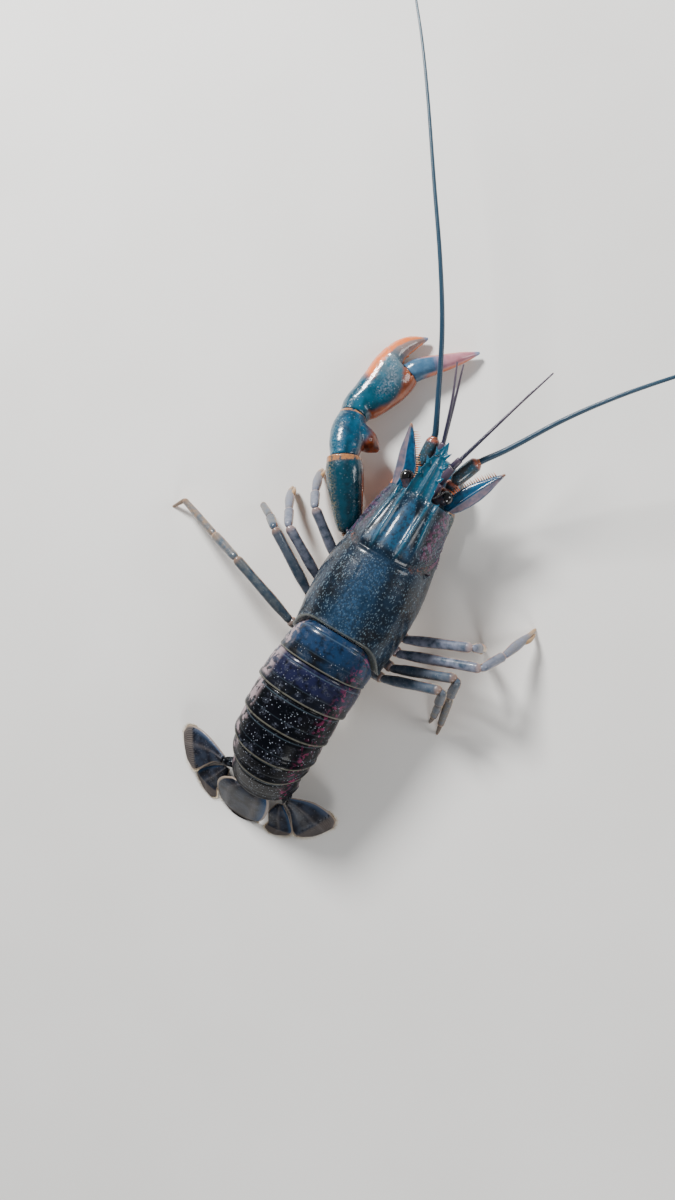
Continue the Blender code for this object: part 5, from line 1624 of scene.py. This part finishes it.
# Coxa, ischium, knee, carpus, palm and tip
LEGS = {
    ("left", 2): ((9.0, -12.2, 7.0), (14.8, -17.0, 9.4), (26.0, -26.5, 16.6),
                  (30.5, -31.5, 11.2), (34.4, -38.0, 3.6), (35.0, -39.6, -0.3)),
    ("left", 3): ((9.2, -6.0, 7.0), (16.6, -9.4, 10.0), (29.5, -18.0, 18.5),
                  (34.5, -23.0, 12.5), (39.6, -28.6, 3.6), (40.6, -30.2, -0.3)),
    ("left", 4): ((9.2, 0.6, 7.0), (17.0, -4.2, 10.0), (33.0, -15.4, 18.4),
                  (38.5, -18.4, 12.6), (45.0, -20.6, 3.8), (46.4, -21.2, -0.3)),
    ("left", 5): ((9.2, 6.6, 7.0), (17.6, 5.8, 10.8), (38.6, -2.3, 19.0),
                  (50.6, -5.2, 13.6), (67.8, -9.5, 4.6), (72.0, -5.8, -0.3)),
    ("right", 2): ((-9.2, -9.6, 7.0), (-15.0, -6.6, 10.2), (-32.6, -14.0, 19.0),
                   (-35.4, -15.4, 13.4), (-36.0, -15.8, 4.4), (-35.8, -15.6, -0.3)),
    ("right", 3): ((-9.2, -4.2, 7.0), (-15.4, -2.0, 10.2), (-37.6, -10.3, 19.4),
                   (-42.2, -16.8, 12.6), (-45.6, -26.0, 4.2), (-46.4, -28.6, -0.3)),
    ("right", 4): ((-9.2, 1.6, 7.0), (-16.0, 2.6, 10.2), (-33.0, -4.2, 18.6),
                   (-35.0, 1.2, 13.2), (-36.4, 10.2, 4.4), (-36.8, 13.4, -0.3)),
    ("right", 5): ((-9.2, 6.8, 7.0), (-15.2, 6.6, 10.2), (-31.0, 0.8, 18.6),
                   (-33.2, 4.4, 12.8), (-33.4, 9.2, 4.4), (-33.2, 11.6, -0.3)),
}
PINCERED = (2, 3)

# %% Segments of the legs


def leg_upper_rows(root, outward, coxa, ischium, knee, facing):
    thigh = knee - ischium
    rows = [(root, 1.6), (root + outward * 1.3, 2.0), (coxa, 1.7)]
    rows += [(coxa.lerp(ischium, 0.5), 1.6), (ischium, 1.5)]
    for share, radius in ((0.08, 1.35), (0.3, 1.65), (0.7, 1.5), (0.93, 1.55)):
        rows.append((ischium + thigh * share, radius))
    return rows + [(knee, 1.35), (knee + facing * 0.7, 1.15)]


def leg_lower_rows(start, facing, carpus, palm, tip, pincered):
    rows = [(start, 1.1), (start + facing * 0.7, 1.3), (start.lerp(carpus, 0.75), 1.45), (carpus, 1.15),
            (carpus.lerp(palm, 0.12), 1.2)]
    if pincered:
        rows += [(carpus.lerp(palm, 0.45), 1.5), (carpus.lerp(palm, 0.72), 1.3), (palm, 0.75)]
    else:
        rows += [(carpus.lerp(palm, 0.5), 1.2), (carpus.lerp(palm, 0.94), 1.0), (palm, 0.8)]
    return rows + [(palm.lerp(tip, 0.6), 0.6), (tip, 0.4)]


# %% Barrels and joints of the legs


def leg_barrel(rows, reach_from, reach_to, flat=0.9):
    """One hard segment: a narrow neck, a belly and a flared far end."""
    table = curve_through([(*p, r) for p, r in rows], BARREL_STEPS)
    centres = table[:, :3]
    run = run_along(centres)
    length = run[-1]
    neck = 1 - 0.22 * bell(run, 0.6) - 0.12 * bell(run - length, 0.25) + 0.09 * bell(run - length + 0.9, 0.5)
    pieces = [(Vector(c), r * k, r * k * flat) for c, r, k in zip(centres, table[:, 3], neck)]
    mesh = limb(pieces, thigh_up(centres), sides=BARREL_SIDES, power=1.0, steps=1, rounded=0.5)
    share = np.concatenate([[0], run / length, [1]])
    reach = mix(reach_from, reach_to, share)
    turn = math.tau * np.arange(BARREL_SIDES) / BARREL_SIDES
    mark(mesh, "reach", np.concatenate([np.repeat(reach, BARREL_SIDES), reach[[0, -1]]]))
    mark(mesh, "above", np.concatenate([np.tile(np.sin(turn), len(reach)), [0, 0]]))
    collar = bell(share * length - length + 0.4, 0.55)
    mark(mesh, "collar", np.concatenate([np.repeat(collar, BARREL_SIDES), collar[[0, -1]]]))
    return mesh


def leg_joint(rows, k):
    facing = (rows[k + 1][0] - rows[k - 1][0]).normalized()
    return knuckle(rows[k][0], facing, rows[k][1] * 0.84, rows[k][1] * 0.84, 0.8)


# %% Hairs and small fingers of the legs


def leg_hairs(rows, side, count):
    """Two rows of short hairs on the outer segments."""
    lines = []
    route = [p for p, _ in rows[4:]]
    for up in (0.9, -0.4):
        line = [p + Vector((0, 0, up * r * 0.8)) for p, r in rows[4:]]
        axis = (route[-1] - route[0]).normalized()
        leans = [Vector((side * 0.25, 0, up)) + axis * 0.7 for _ in line]
        lines.append(hairs_along(line, leans, Count=count, Length=0.85, Thickness=0.03, Untidy=0.35,
                                 Seed=int(10 * up) + count))
    return merged(lines)


def leg_finger(carpus, palm, tip):
    """The short moving finger that closes against the leg's tip."""
    branch = carpus.lerp(palm, 0.62)
    lean = (palm - carpus).cross(Vector((0, 0, 1)))
    lean = lean.normalized() if lean.length >= 3.0 else Vector((0, 1, 0))
    return [(branch, 0.9), (palm.lerp(branch, 0.3) + lean * 1.2, 0.75), (palm.lerp(tip, 0.55) + lean, 0.35)]


# %% Walking legs


def build_leg(name, row, side):
    coxa, ischium, knee, carpus, palm, tip = (Vector(p) for p in LEGS[name, row])
    root, outward = limb_root(LEG_ROWS[row], side, LEG_ROOT)
    facing = ((knee - ischium).normalized() + (carpus - knee).normalized()).normalized()
    coat = leg_finishes["tan" if (name, row) == ("left", 5) else "front" if row in PINCERED else "back"]
    upper = leg_upper_rows(root, outward, coxa, ischium, knee, facing)
    leg = f"leg_{row}_{name}_"
    shells = [leg_barrel(upper[:3], 0.0, 0.12), leg_barrel(upper[2:5], 0.12, 0.2)]
    shells.append(leg_barrel(upper[4:], 0.2, 0.5))
    place_piece(leg + "upper_shells", merged(shells), coat, [leg + "upper"])
    lower = leg_lower_rows(knee + facing * (0.7 + GAP), facing, carpus, palm, tip, row in PINCERED)
    shells = [leg_barrel(lower[:4], 0.5, 0.62)]
    if row in PINCERED:
        shells += [leg_barrel(lower[3:], 0.62, 1.0), leg_barrel(leg_finger(carpus, palm, tip), 0.88, 1.0)]
    else:
        shells += [leg_barrel(lower[3:8], 0.62, 0.9), leg_barrel(lower[7:], 0.9, 1.0)]
    place_piece(leg + "lower_shells", merged(shells), coat, [leg + "lower"])
    joints = [leg_joint(upper, 2), leg_joint(upper, 4), leg_joint(lower, 3),
              knuckle(upper[-1][0] + facing * GAP / 2, facing, 1.05, 1.05, 0.7)]
    if row not in PINCERED:
        joints.append(leg_joint(lower, 7))
    place_piece(leg + "joint_skins", merged(joints), leg_skin_finish)
    place_piece(leg + "hairs", leg_hairs(lower, side, LEG_HAIRS[row]), pale_hair)


for name, row in LEGS:
    build_leg(name, row, SIDES[name])
print("leg pieces", count_pieces("leg_"))

# %% [markdown]
# The sternum is the plate between the legs, with a furrow between each two pairs. Its slopes have
# to meet the legs' roots, so it isn't carved from a block but skinned through sections that know
# the slope. The jaw feet lie under the mouth, with hairs on their inner edges.

# %% Underside
STERNUM_FRONT, STERNUM_REAR, STERNUM_RINGS = -30.0, 9.3, 80
FURROWS_Y = (-16.0, -8.0, -2.0, 4.0)


def sternum_mesh():
    rings = []
    for y in np.linspace(STERNUM_FRONT, STERNUM_REAR, STERNUM_RINGS):
        upper = 10.1 + 2.0 * ease((-14.0 - y) / 16.0)
        narrow = 1.3 * ease((-24.0 - y) / 6.0)
        low = STERNUM_LOW + narrow
        wide, slim = (STERNUM_LOW_HALF + STERNUM_SLOPE * (z - STERNUM_LOW) - narrow for z in (upper, low))
        furrow = 0.7 * sum(bell(y - row, 0.9) for row in FURROWS_Y)
        groove = 0.9 + 0.4 * furrow
        corners = [(0, upper), (wide, upper), (slim, low + furrow), (0, low + groove)]
        corners += [(-slim, low + furrow), (-wide, upper)]
        ring = []
        for (x0, z0), (x1, z1) in zip(corners, corners[1:] + corners[:1]):
            ring += [(mix(x0, x1, t), y, mix(z0, z1, t)) for t in np.arange(8) / 8]
        rings.append(ring)
    return skin(rings)


place_piece("sternum_plate", sternum_mesh(), cream_finish, ["sternum"])

# %% Jaw feet
# Centre, half width and half height along a jaw foot
MAXILLIPED = (((3.2, -30.5, 10.6), 1.3, 1.2), ((3.4, -33, 10.9), 1.8, 1.5), ((3.4, -38, 11.2), 1.7, 1.5),
              ((3.2, -42, 11.4), 1.5, 1.4), ((2.7, -45.5, 11.3), 1.2, 1.2), ((2.1, -48.8, 10.9), 0.6, 0.6))

for name, side in SIDES.items():
    rows = [(on_side(centre, side), w, h) for centre, w, h in MAXILLIPED]
    second = [(rows[2][0] + Vector((0, -0.3, 0)), 1.5, 1.4), rows[3]]
    third = [(rows[3][0] + Vector((0, -0.3, 0)), 1.4, 1.3), *rows[4:]]
    parts = [limb(part) for part in (rows[:3], second, third)]
    place_piece(f"jaw_foot_{name}", merged(parts), cream_finish, [f"maxilliped_{name}"])
    line = [c + Vector((-side * w * 0.8, 0, -0.3)) for c, w, _ in rows[1:]]
    leans = [Vector((-side * 0.8, -0.5, -0.5)) for _ in line]
    hairs = hairs_along(line, leans, Count=60, Length=1.3, Thickness=0.04, Untidy=0.3, Seed=7)
    place_piece(f"jaw_foot_{name}_hairs", hairs, pale_hair)
print("underside pieces", count_pieces("sternum", "jaw_foot"))

# %% [markdown]
# The feelers are whips of hundreds of tiny rings, each a little narrower than the last, where an
# Array modifier would repeat one size. A second Geometry Nodes tree walks along the route at a
# fixed spacing, pinches every third step, and sweeps a circle along it. It makes the short double
# threads too.

# %% Feeler tree


def feeler_tree():
    tree, given = new_tree("ringed_feeler", {"Step": 0.2, "Pinch": 0.05, "Sides": 10})
    line = tree_node(tree, "GeometryNodeMeshToCurve", {0: given["Geometry"]})
    spacing = {0: line, "Length": given["Step"]}
    steps = tree_node(tree, "GeometryNodeResampleCurve", spacing, mode="LENGTH")
    third = tree_maths(tree, "MODULO", tree_node(tree, "GeometryNodeInputIndex"), 3.0)
    pinched = tree_maths(tree, "LESS_THAN", third, 0.5)
    keep = tree_maths(tree, "SUBTRACT", 1.0, tree_maths(tree, "MULTIPLY", pinched, given["Pinch"]))
    size = tree_maths(tree, "MULTIPLY", tree_read(tree, "radius"), keep)
    noted = {0: steps, "Name": "ring", "Value": pinched}
    ringed = tree_node(tree, "GeometryNodeStoreNamedAttribute", noted, data_type="FLOAT")
    sized_line = tree_node(tree, "GeometryNodeSetCurveRadius", {0: ringed, "Radius": size})
    outline = {"Resolution": given["Sides"], "Radius": 1.0}
    circle = tree_node(tree, "GeometryNodeCurvePrimitiveCircle", outline)
    sweep = {0: sized_line, 1: circle, "Scale": size, "Fill Caps": True}
    end_tree(tree, given, tree_node(tree, "GeometryNodeCurveToMesh", sweep))
    return tree


FEELER = feeler_tree()

# %% Feeler finishes


def feeler_paint(near_tone, far_tone):
    def paint(place):
        ring, along = place.read("ring"), place.read("along")
        cloud = place.grain(4.0)
        colour = (along + cloud * 0.3 - 0.15).rise(0.1, 0.9).tint(near_tone, far_tone)
        colour = (ring * 0.35).tint(colour, rgb(20, 34, 48))
        return colour, 0.32, cloud * 0.01
    return paint


feeler_finish = finish("feeler_shell", feeler_paint(rgb(30, 58, 78), rgb(58, 80, 94)), **wet(0.3))
thread_finish = finish("thread_shell", feeler_paint(rgb(36, 34, 54), rgb(78, 66, 80)), **wet(0.3))

# %% Feeler sizes
# The barrels' middle points from the head out
PEDUNCLES = {
    "left": ((6.3, -43.9, 16.4), (6.2, -46.5, 16.4), (5.8, -50.5, 17.0), (5.3, -52.6, 17.9),
             (5.1, -54.2, 18.9), (5.1, -58.4, 20.4), (5.4, -60.6, 21.3), (5.5, -61.1, 21.5)),
    "right": ((-6.3, -43.9, 16.4), (-5.9, -46.5, 16.4), (-5.3, -50.5, 17.0), (-5.5, -52.8, 17.8),
              (-6.2, -54.8, 18.6), (-8.0, -58.9, 19.7), (-9.0, -60.7, 20.2), (-9.3, -61.1, 20.3)),
}
PEDUNCLE_RADII = (2.2, 2.5, 2.35, 1.8, 2.15, 2.2, 1.5, 1.2)
FEELER_RADII, THREAD_RADII, ROUTE_STEPS = (1.0, 0.27), (0.62, 0.25), 14
FEELERS = {
    "left": ((9.2, -69.8, 25), (17.1, -86.3, 30), (26.4, -101.8, 34), (38.6, -119.8, 36), (51, -138.2, 37),
             (61.1, -152.4, 37), (70.5, -164.5, 36), (77, -173.5, 34)),
    "right": ((-14.9, -68.1, 22), (-23.4, -80.2, 25), (-32.2, -90.7, 28), (-42.7, -101.8, 30),
              (-58, -117, 31), (-74, -132, 30), (-89, -144.5, 28), (-101, -153.5, 26)),
}
# The stem, then the inner and the outer thread
ANTENNULES = {
    "left": (((2.1, -43.8, 19.9), (2.1, -50, 20.6), (2.0, -56, 22.0), (2.0, -60.3, 23.0)),
             ((5.2, -72.3, 24.0), (8.1, -82.2, 24.4)), ((5.6, -71.6, 25.6), (9.6, -81.4, 26.6))),
    "right": (((-2.1, -43.8, 19.9), (-2.4, -50, 20.6), (-3.4, -55.5, 22.0), (-4.4, -58.4, 23.0)),
              ((-9.0, -72.6, 24.2), (-15.0, -91.2, 24.5)), ((-8.9, -71.0, 25.8), (-12.9, -83.8, 26.8))),
}
STEM_RADII = (1.2, 1.25, 1.15, 0.95)
# Middle point and half width from the root to the point
SCALES = {
    "left": (((8.1, -43.9, 20.0), 1.7), ((8.0, -46.5, 20.0), 2.6), ((8.5, -50, 20.2), 3.1),
             ((10.1, -54, 20.6), 2.5), ((11.6, -57.8, 20.8), 1.5), ((13.2, -61.4, 21.0), 0.35)),
    "right": (((-8.4, -44.4, 20.0), 1.6), ((-9.4, -46.8, 20.0), 2.7), ((-11.3, -50.8, 20.2), 3.2),
              ((-13.2, -54.4, 20.5), 2.7), ((-15.2, -57.8, 20.8), 1.5), ((-17.2, -61.0, 21.0), 0.35)),
}

# %% Feelers and threads


def whip(route, radii, coat, step=0.2, sides=10):
    mesh = line_mesh(route, radii=radii)
    mark(mesh, "along", np.linspace(0, 1, len(route)))
    return grown(mesh, FEELER, coat, Step=step, Sides=sides)


def build_feeler(name):
    before, end = (Vector(p) for p in PEDUNCLES[name][-2:])
    out = (end - before).normalized()
    smooth = curve_through([tuple(end + out), *FEELERS[name]], ROUTE_STEPS)
    route = [end - out * 0.2, *[Vector(p) for p in smooth]]
    last = len(route) - 1
    radii = [mix(*FEELER_RADII, (i / last)**0.8) for i in range(last + 1)]
    place_piece(f"feeler_{name}", whip(route, radii, feeler_finish), feeler_finish,
                [f"antenna_{name}_near", f"antenna_{name}_far"])


def build_threads(name):
    stem, inner, outer = ANTENNULES[name]
    rows = [(Vector(p), r, r) for p, r in zip(stem, STEM_RADII)]
    second = [(rows[1][0] + Vector((0, -0.25, 0)), 1.15, 1.15), rows[2]]
    third = [(rows[2][0] + Vector((0, -0.25, 0)), 1.05, 1.05), rows[3]]
    cuts = merged([limb(part, sides=20, steps=8) for part in (rows[:2], second, third)])
    place_piece(f"antennule_{name}_stem", cuts, thread_finish, [f"antennule_{name}"])
    threads = []
    for shift, end in ((-0.25, inner), (0.25, outer)):
        first = Vector(stem[-1]) + Vector((0, 0.3, shift))
        route = [Vector(p) for p in curve_through([tuple(first), *end], ROUTE_STEPS)]
        radii = [mix(*THREAD_RADII, i / (len(route) - 1)) for i in range(len(route))]
        threads.append(whip(route, radii, thread_finish, step=0.16, sides=8))
    place_piece(f"antennule_{name}_threads", merged(threads), thread_finish)


# %% [markdown]
# Each feeler grows from three stout barrels and a short collar. Beside them lies the antennal
# scale, a pointed blade whose inner half is blue with an orange comb of hairs, and whose outer
# half is pinkish grey along a paler rib. The legs' barrels and the fan's blades serve here again.

# %% Finishes of the feelers' roots


def barrel_paint(place):
    cloud = place.grain(1.8)
    colour = cloud.rise(0.3, 0.7).tint(rgb(30, 66, 80), rgb(70, 68, 66))
    flecks = place.dots(0.75, 0.36, 0.14)
    colour = (flecks * 0.35).tint(colour, rgb(92, 130, 158))
    colour = (place.read("collar") * 0.6).tint(colour, rgb(176, 84, 44))
    return colour, 0.24 + cloud * 0.14, flecks * 0.03 + place.grain(0.5) * 0.03


def scale_paint(side):
    def paint(place):
        across, along = place.read("across"), place.read("along")
        out = across if side > 0 else 1.0 - across
        cloud = place.grain(1.4)
        inner = cloud.rise(0.3, 0.7).tint(rgb(16, 76, 110), rgb(8, 52, 80))
        outer = cloud.rise(0.3, 0.7).tint(rgb(116, 100, 108), rgb(82, 84, 100))
        colour = out.rise(0.56, 0.68).tint(inner, outer)
        colour = (out.near(0.62, 0.05) * 0.35).tint(colour, rgb(150, 140, 140))
        colour = (out.rise(0.93, 0.98) * 0.6).tint(colour, rgb(30, 90, 116))
        colour = along.rise(0.92, 0.98).tint(colour, rgb(146, 108, 88))
        return colour, 0.24 + cloud * 0.12, place.grain(0.5) * 0.03
    return paint


barrel_finish = finish("feeler_barrel_shell", barrel_paint, **wet(0.5))

# %% Feeler roots and scales
BARREL_FLAT = 0.92


def build_barrels(name, side):
    rows = [(Vector(p), r) for p, r in zip(PEDUNCLES[name], PEDUNCLE_RADII)]
    cuts = ((rows[:3], 0.0, 0.3), (rows[2:4], 0.3, 0.5), (rows[3:7], 0.5, 0.9), (rows[6:], 0.9, 1.0))
    barrels = [leg_barrel(*cut, BARREL_FLAT) for cut in cuts]
    root = rows[1][0]
    barrels.append(thorn(root + Vector((side * 1.4, 0, 0.4)), root + Vector((side * 2.6, -2.6, 0.6)), 0.6))
    node = f"antenna_peduncle_{name}"
    place_piece(f"feeler_barrels_{name}", merged(barrels), barrel_finish, [node])
    skins = merged([leg_joint(rows, k) for k in (2, 3, 6)])
    place_piece(f"feeler_joint_skins_{name}", skins, membrane_finish)


def build_scale(name, side):
    edges = [(Vector(c) - Vector((w, 0, 0)), Vector(c) + Vector((w, 0, 0))) for c, w in SCALES[name]]
    ribs = ((0.5 + side * 0.05, 0.2), (0.5 + side * 0.45, 0.2))
    mesh, table = plate(edges, thickness=0.9, crown=0.3, up=(0, 0, 1), soft_from=2.0, ribs=ribs)
    scale_coat = finish(f"scale_shell_{name}", scale_paint(side), **wet(0.5))
    place_piece(f"scale_{name}", mesh, scale_coat, [f"scaphocerite_{name}"])
    inner_edge = [Vector(row[:3] if side > 0 else row[3:]) for row in table[8:-4]]
    leans = [Vector((-side * 1.0, -0.55, 0.0)) for _ in inner_edge]
    comb = hairs_along(inner_edge, leans, orange_hair, Count=24, Length=2.0, Thickness=0.28,
                       Untidy=0.14, Seed=9)
    place_piece(f"scale_{name}_comb", comb, orange_hair)


for name, side in SIDES.items():
    build_feeler(name)
    build_threads(name)
    build_barrels(name, side)
    build_scale(name, side)
print("feeler pieces", count_pieces("feeler", "antennule", "scale_"))

# %% [markdown]
# The eyes are black globes on short stalks. A plain glossy sphere would look like a bead, so a
# small Voronoi relief gives the cornea its facets. The stalk, a dull pinkish grey, wraps its back.

# %% Eye finishes
FACET = 0.13


def eye_paint(place):
    facets = place.node("TexVoronoi", {"Vector": place, "Scale": 1 / FACET, "Randomness": 0.25})
    tone = place.grain(1.2).rise(0.3, 0.7).tint(rgb(5, 5, 6), rgb(16, 12, 12))
    return tone, 0.12 + facets * 0.08, facets * -0.012


def stalk_paint(place):
    cloud = place.grain(0.9)
    colour = cloud.rise(0.35, 0.65).tint(rgb(60, 44, 50), rgb(28, 38, 50))
    return colour, 0.34, place.grain(0.4) * 0.04


eye_finish = finish("eye_globe", eye_paint, **wet(1.0))
stalk_finish = finish("eye_stalk", stalk_paint, **wet(0.4))

# %% Eyes
EYE_RADIUS, EYE_RINGS, EYE_SIDES = 2.0, 24, 40
STALK_ROOT = (4.3, FRONT_Y - 1.4 * GAP, 23.0)


def globe(centre, radius):
    rings = []
    for t in np.linspace(0.04, math.pi - 0.04, EYE_RINGS):
        wide, height = radius * math.sin(t), -radius * math.cos(t)
        rings.append([centre + Vector((wide * math.cos(a), wide * math.sin(a), height))
                      for a in np.linspace(0, math.tau, EYE_SIDES, endpoint=False)])
    return skin(rings)


for name, side in SIDES.items():
    centre = on_side(EYE, side)
    place_piece(f"eye_{name}_globe", globe(centre, EYE_RADIUS), eye_finish, [f"eye_{name}"])
    root = on_side(STALK_ROOT, side)
    elbow = root + Vector((side * 0.15, -0.7, 0.0))
    reach = (centre - elbow).normalized()
    rows = [(root, 1.3, 1.3), (elbow, 1.5, 1.5), (centre - reach * 2.3, 1.55, 1.5)]
    rows += [(centre - reach * 1.2, 1.75, 1.7), (centre - reach * 0.7, 1.86, 1.84)]
    stalk = limb(rows, sides=32, steps=6, power=1.0)
    place_piece(f"eye_{name}_stalk", stalk, stalk_finish, [f"eyestalk_{name}"])
print("eye radius in mm", EYE_RADIUS)

# %% [markdown]
# Small horny granules roughen the cheeks. A bump would vanish on the outline, so a third Geometry
# Nodes tree scatters low domes over the carapace where its "grain" mark is high, with a fixed
# seed. It works on a copy in the tables' millimetres.

# %% Granules


def granule_tree():
    tree, given = new_tree("granules", {"Density": 1.1, "Size": 0.19, "Seed": 4})
    density = tree_maths(tree, "MULTIPLY", tree_read(tree, "grain"), given["Density"])
    inputs = {0: given["Geometry"], "Density": density, "Seed": given["Seed"]}
    spread = tree_node(tree, "GeometryNodeDistributePointsOnFaces", inputs)
    dome = tree_node(tree, "GeometryNodeMeshUVSphere", {"Segments": 8, "Rings": 5, "Radius": 1.0})
    scale = tree_maths(tree, "MULTIPLY", tree_random(tree, 0.6, 1.2, given["Seed"]), given["Size"])
    turn = spread.node.outputs["Rotation"]
    planting = {0: spread, 2: dome, "Rotation": turn, "Scale": scale}
    end_tree(tree, given, tree_node(tree, "GeometryNodeInstanceOnPoints", planting))
    return tree


def granule_paint(place):
    return place.grain(1.0).rise(0.3, 0.7).tint(rgb(66, 84, 104), rgb(104, 66, 88)), 0.3, None


granule_finish = finish("cheek_granules", granule_paint, **wet(0.4))
cheeks = shield.copy()
cheek_points = (points_of(cheeks) - np.array(SHIFT)) / MM
cheeks.vertices.foreach_set("co", cheek_points.astype(np.float32).ravel())
granules = grown(cheeks, granule_tree(), granule_finish)
place_piece("carapace_granules", granules, granule_finish)
print("granule faces", len(granules.polygons))

# %% [markdown]
# At the end the pieces are counted, with the triangles that they hold.

# %% Sizes and finish
triangles = sum(len(face.vertices) - 2 for piece in PIECES for face in piece.data.polygons)
print("pieces", len(PIECES), "triangles", triangles)
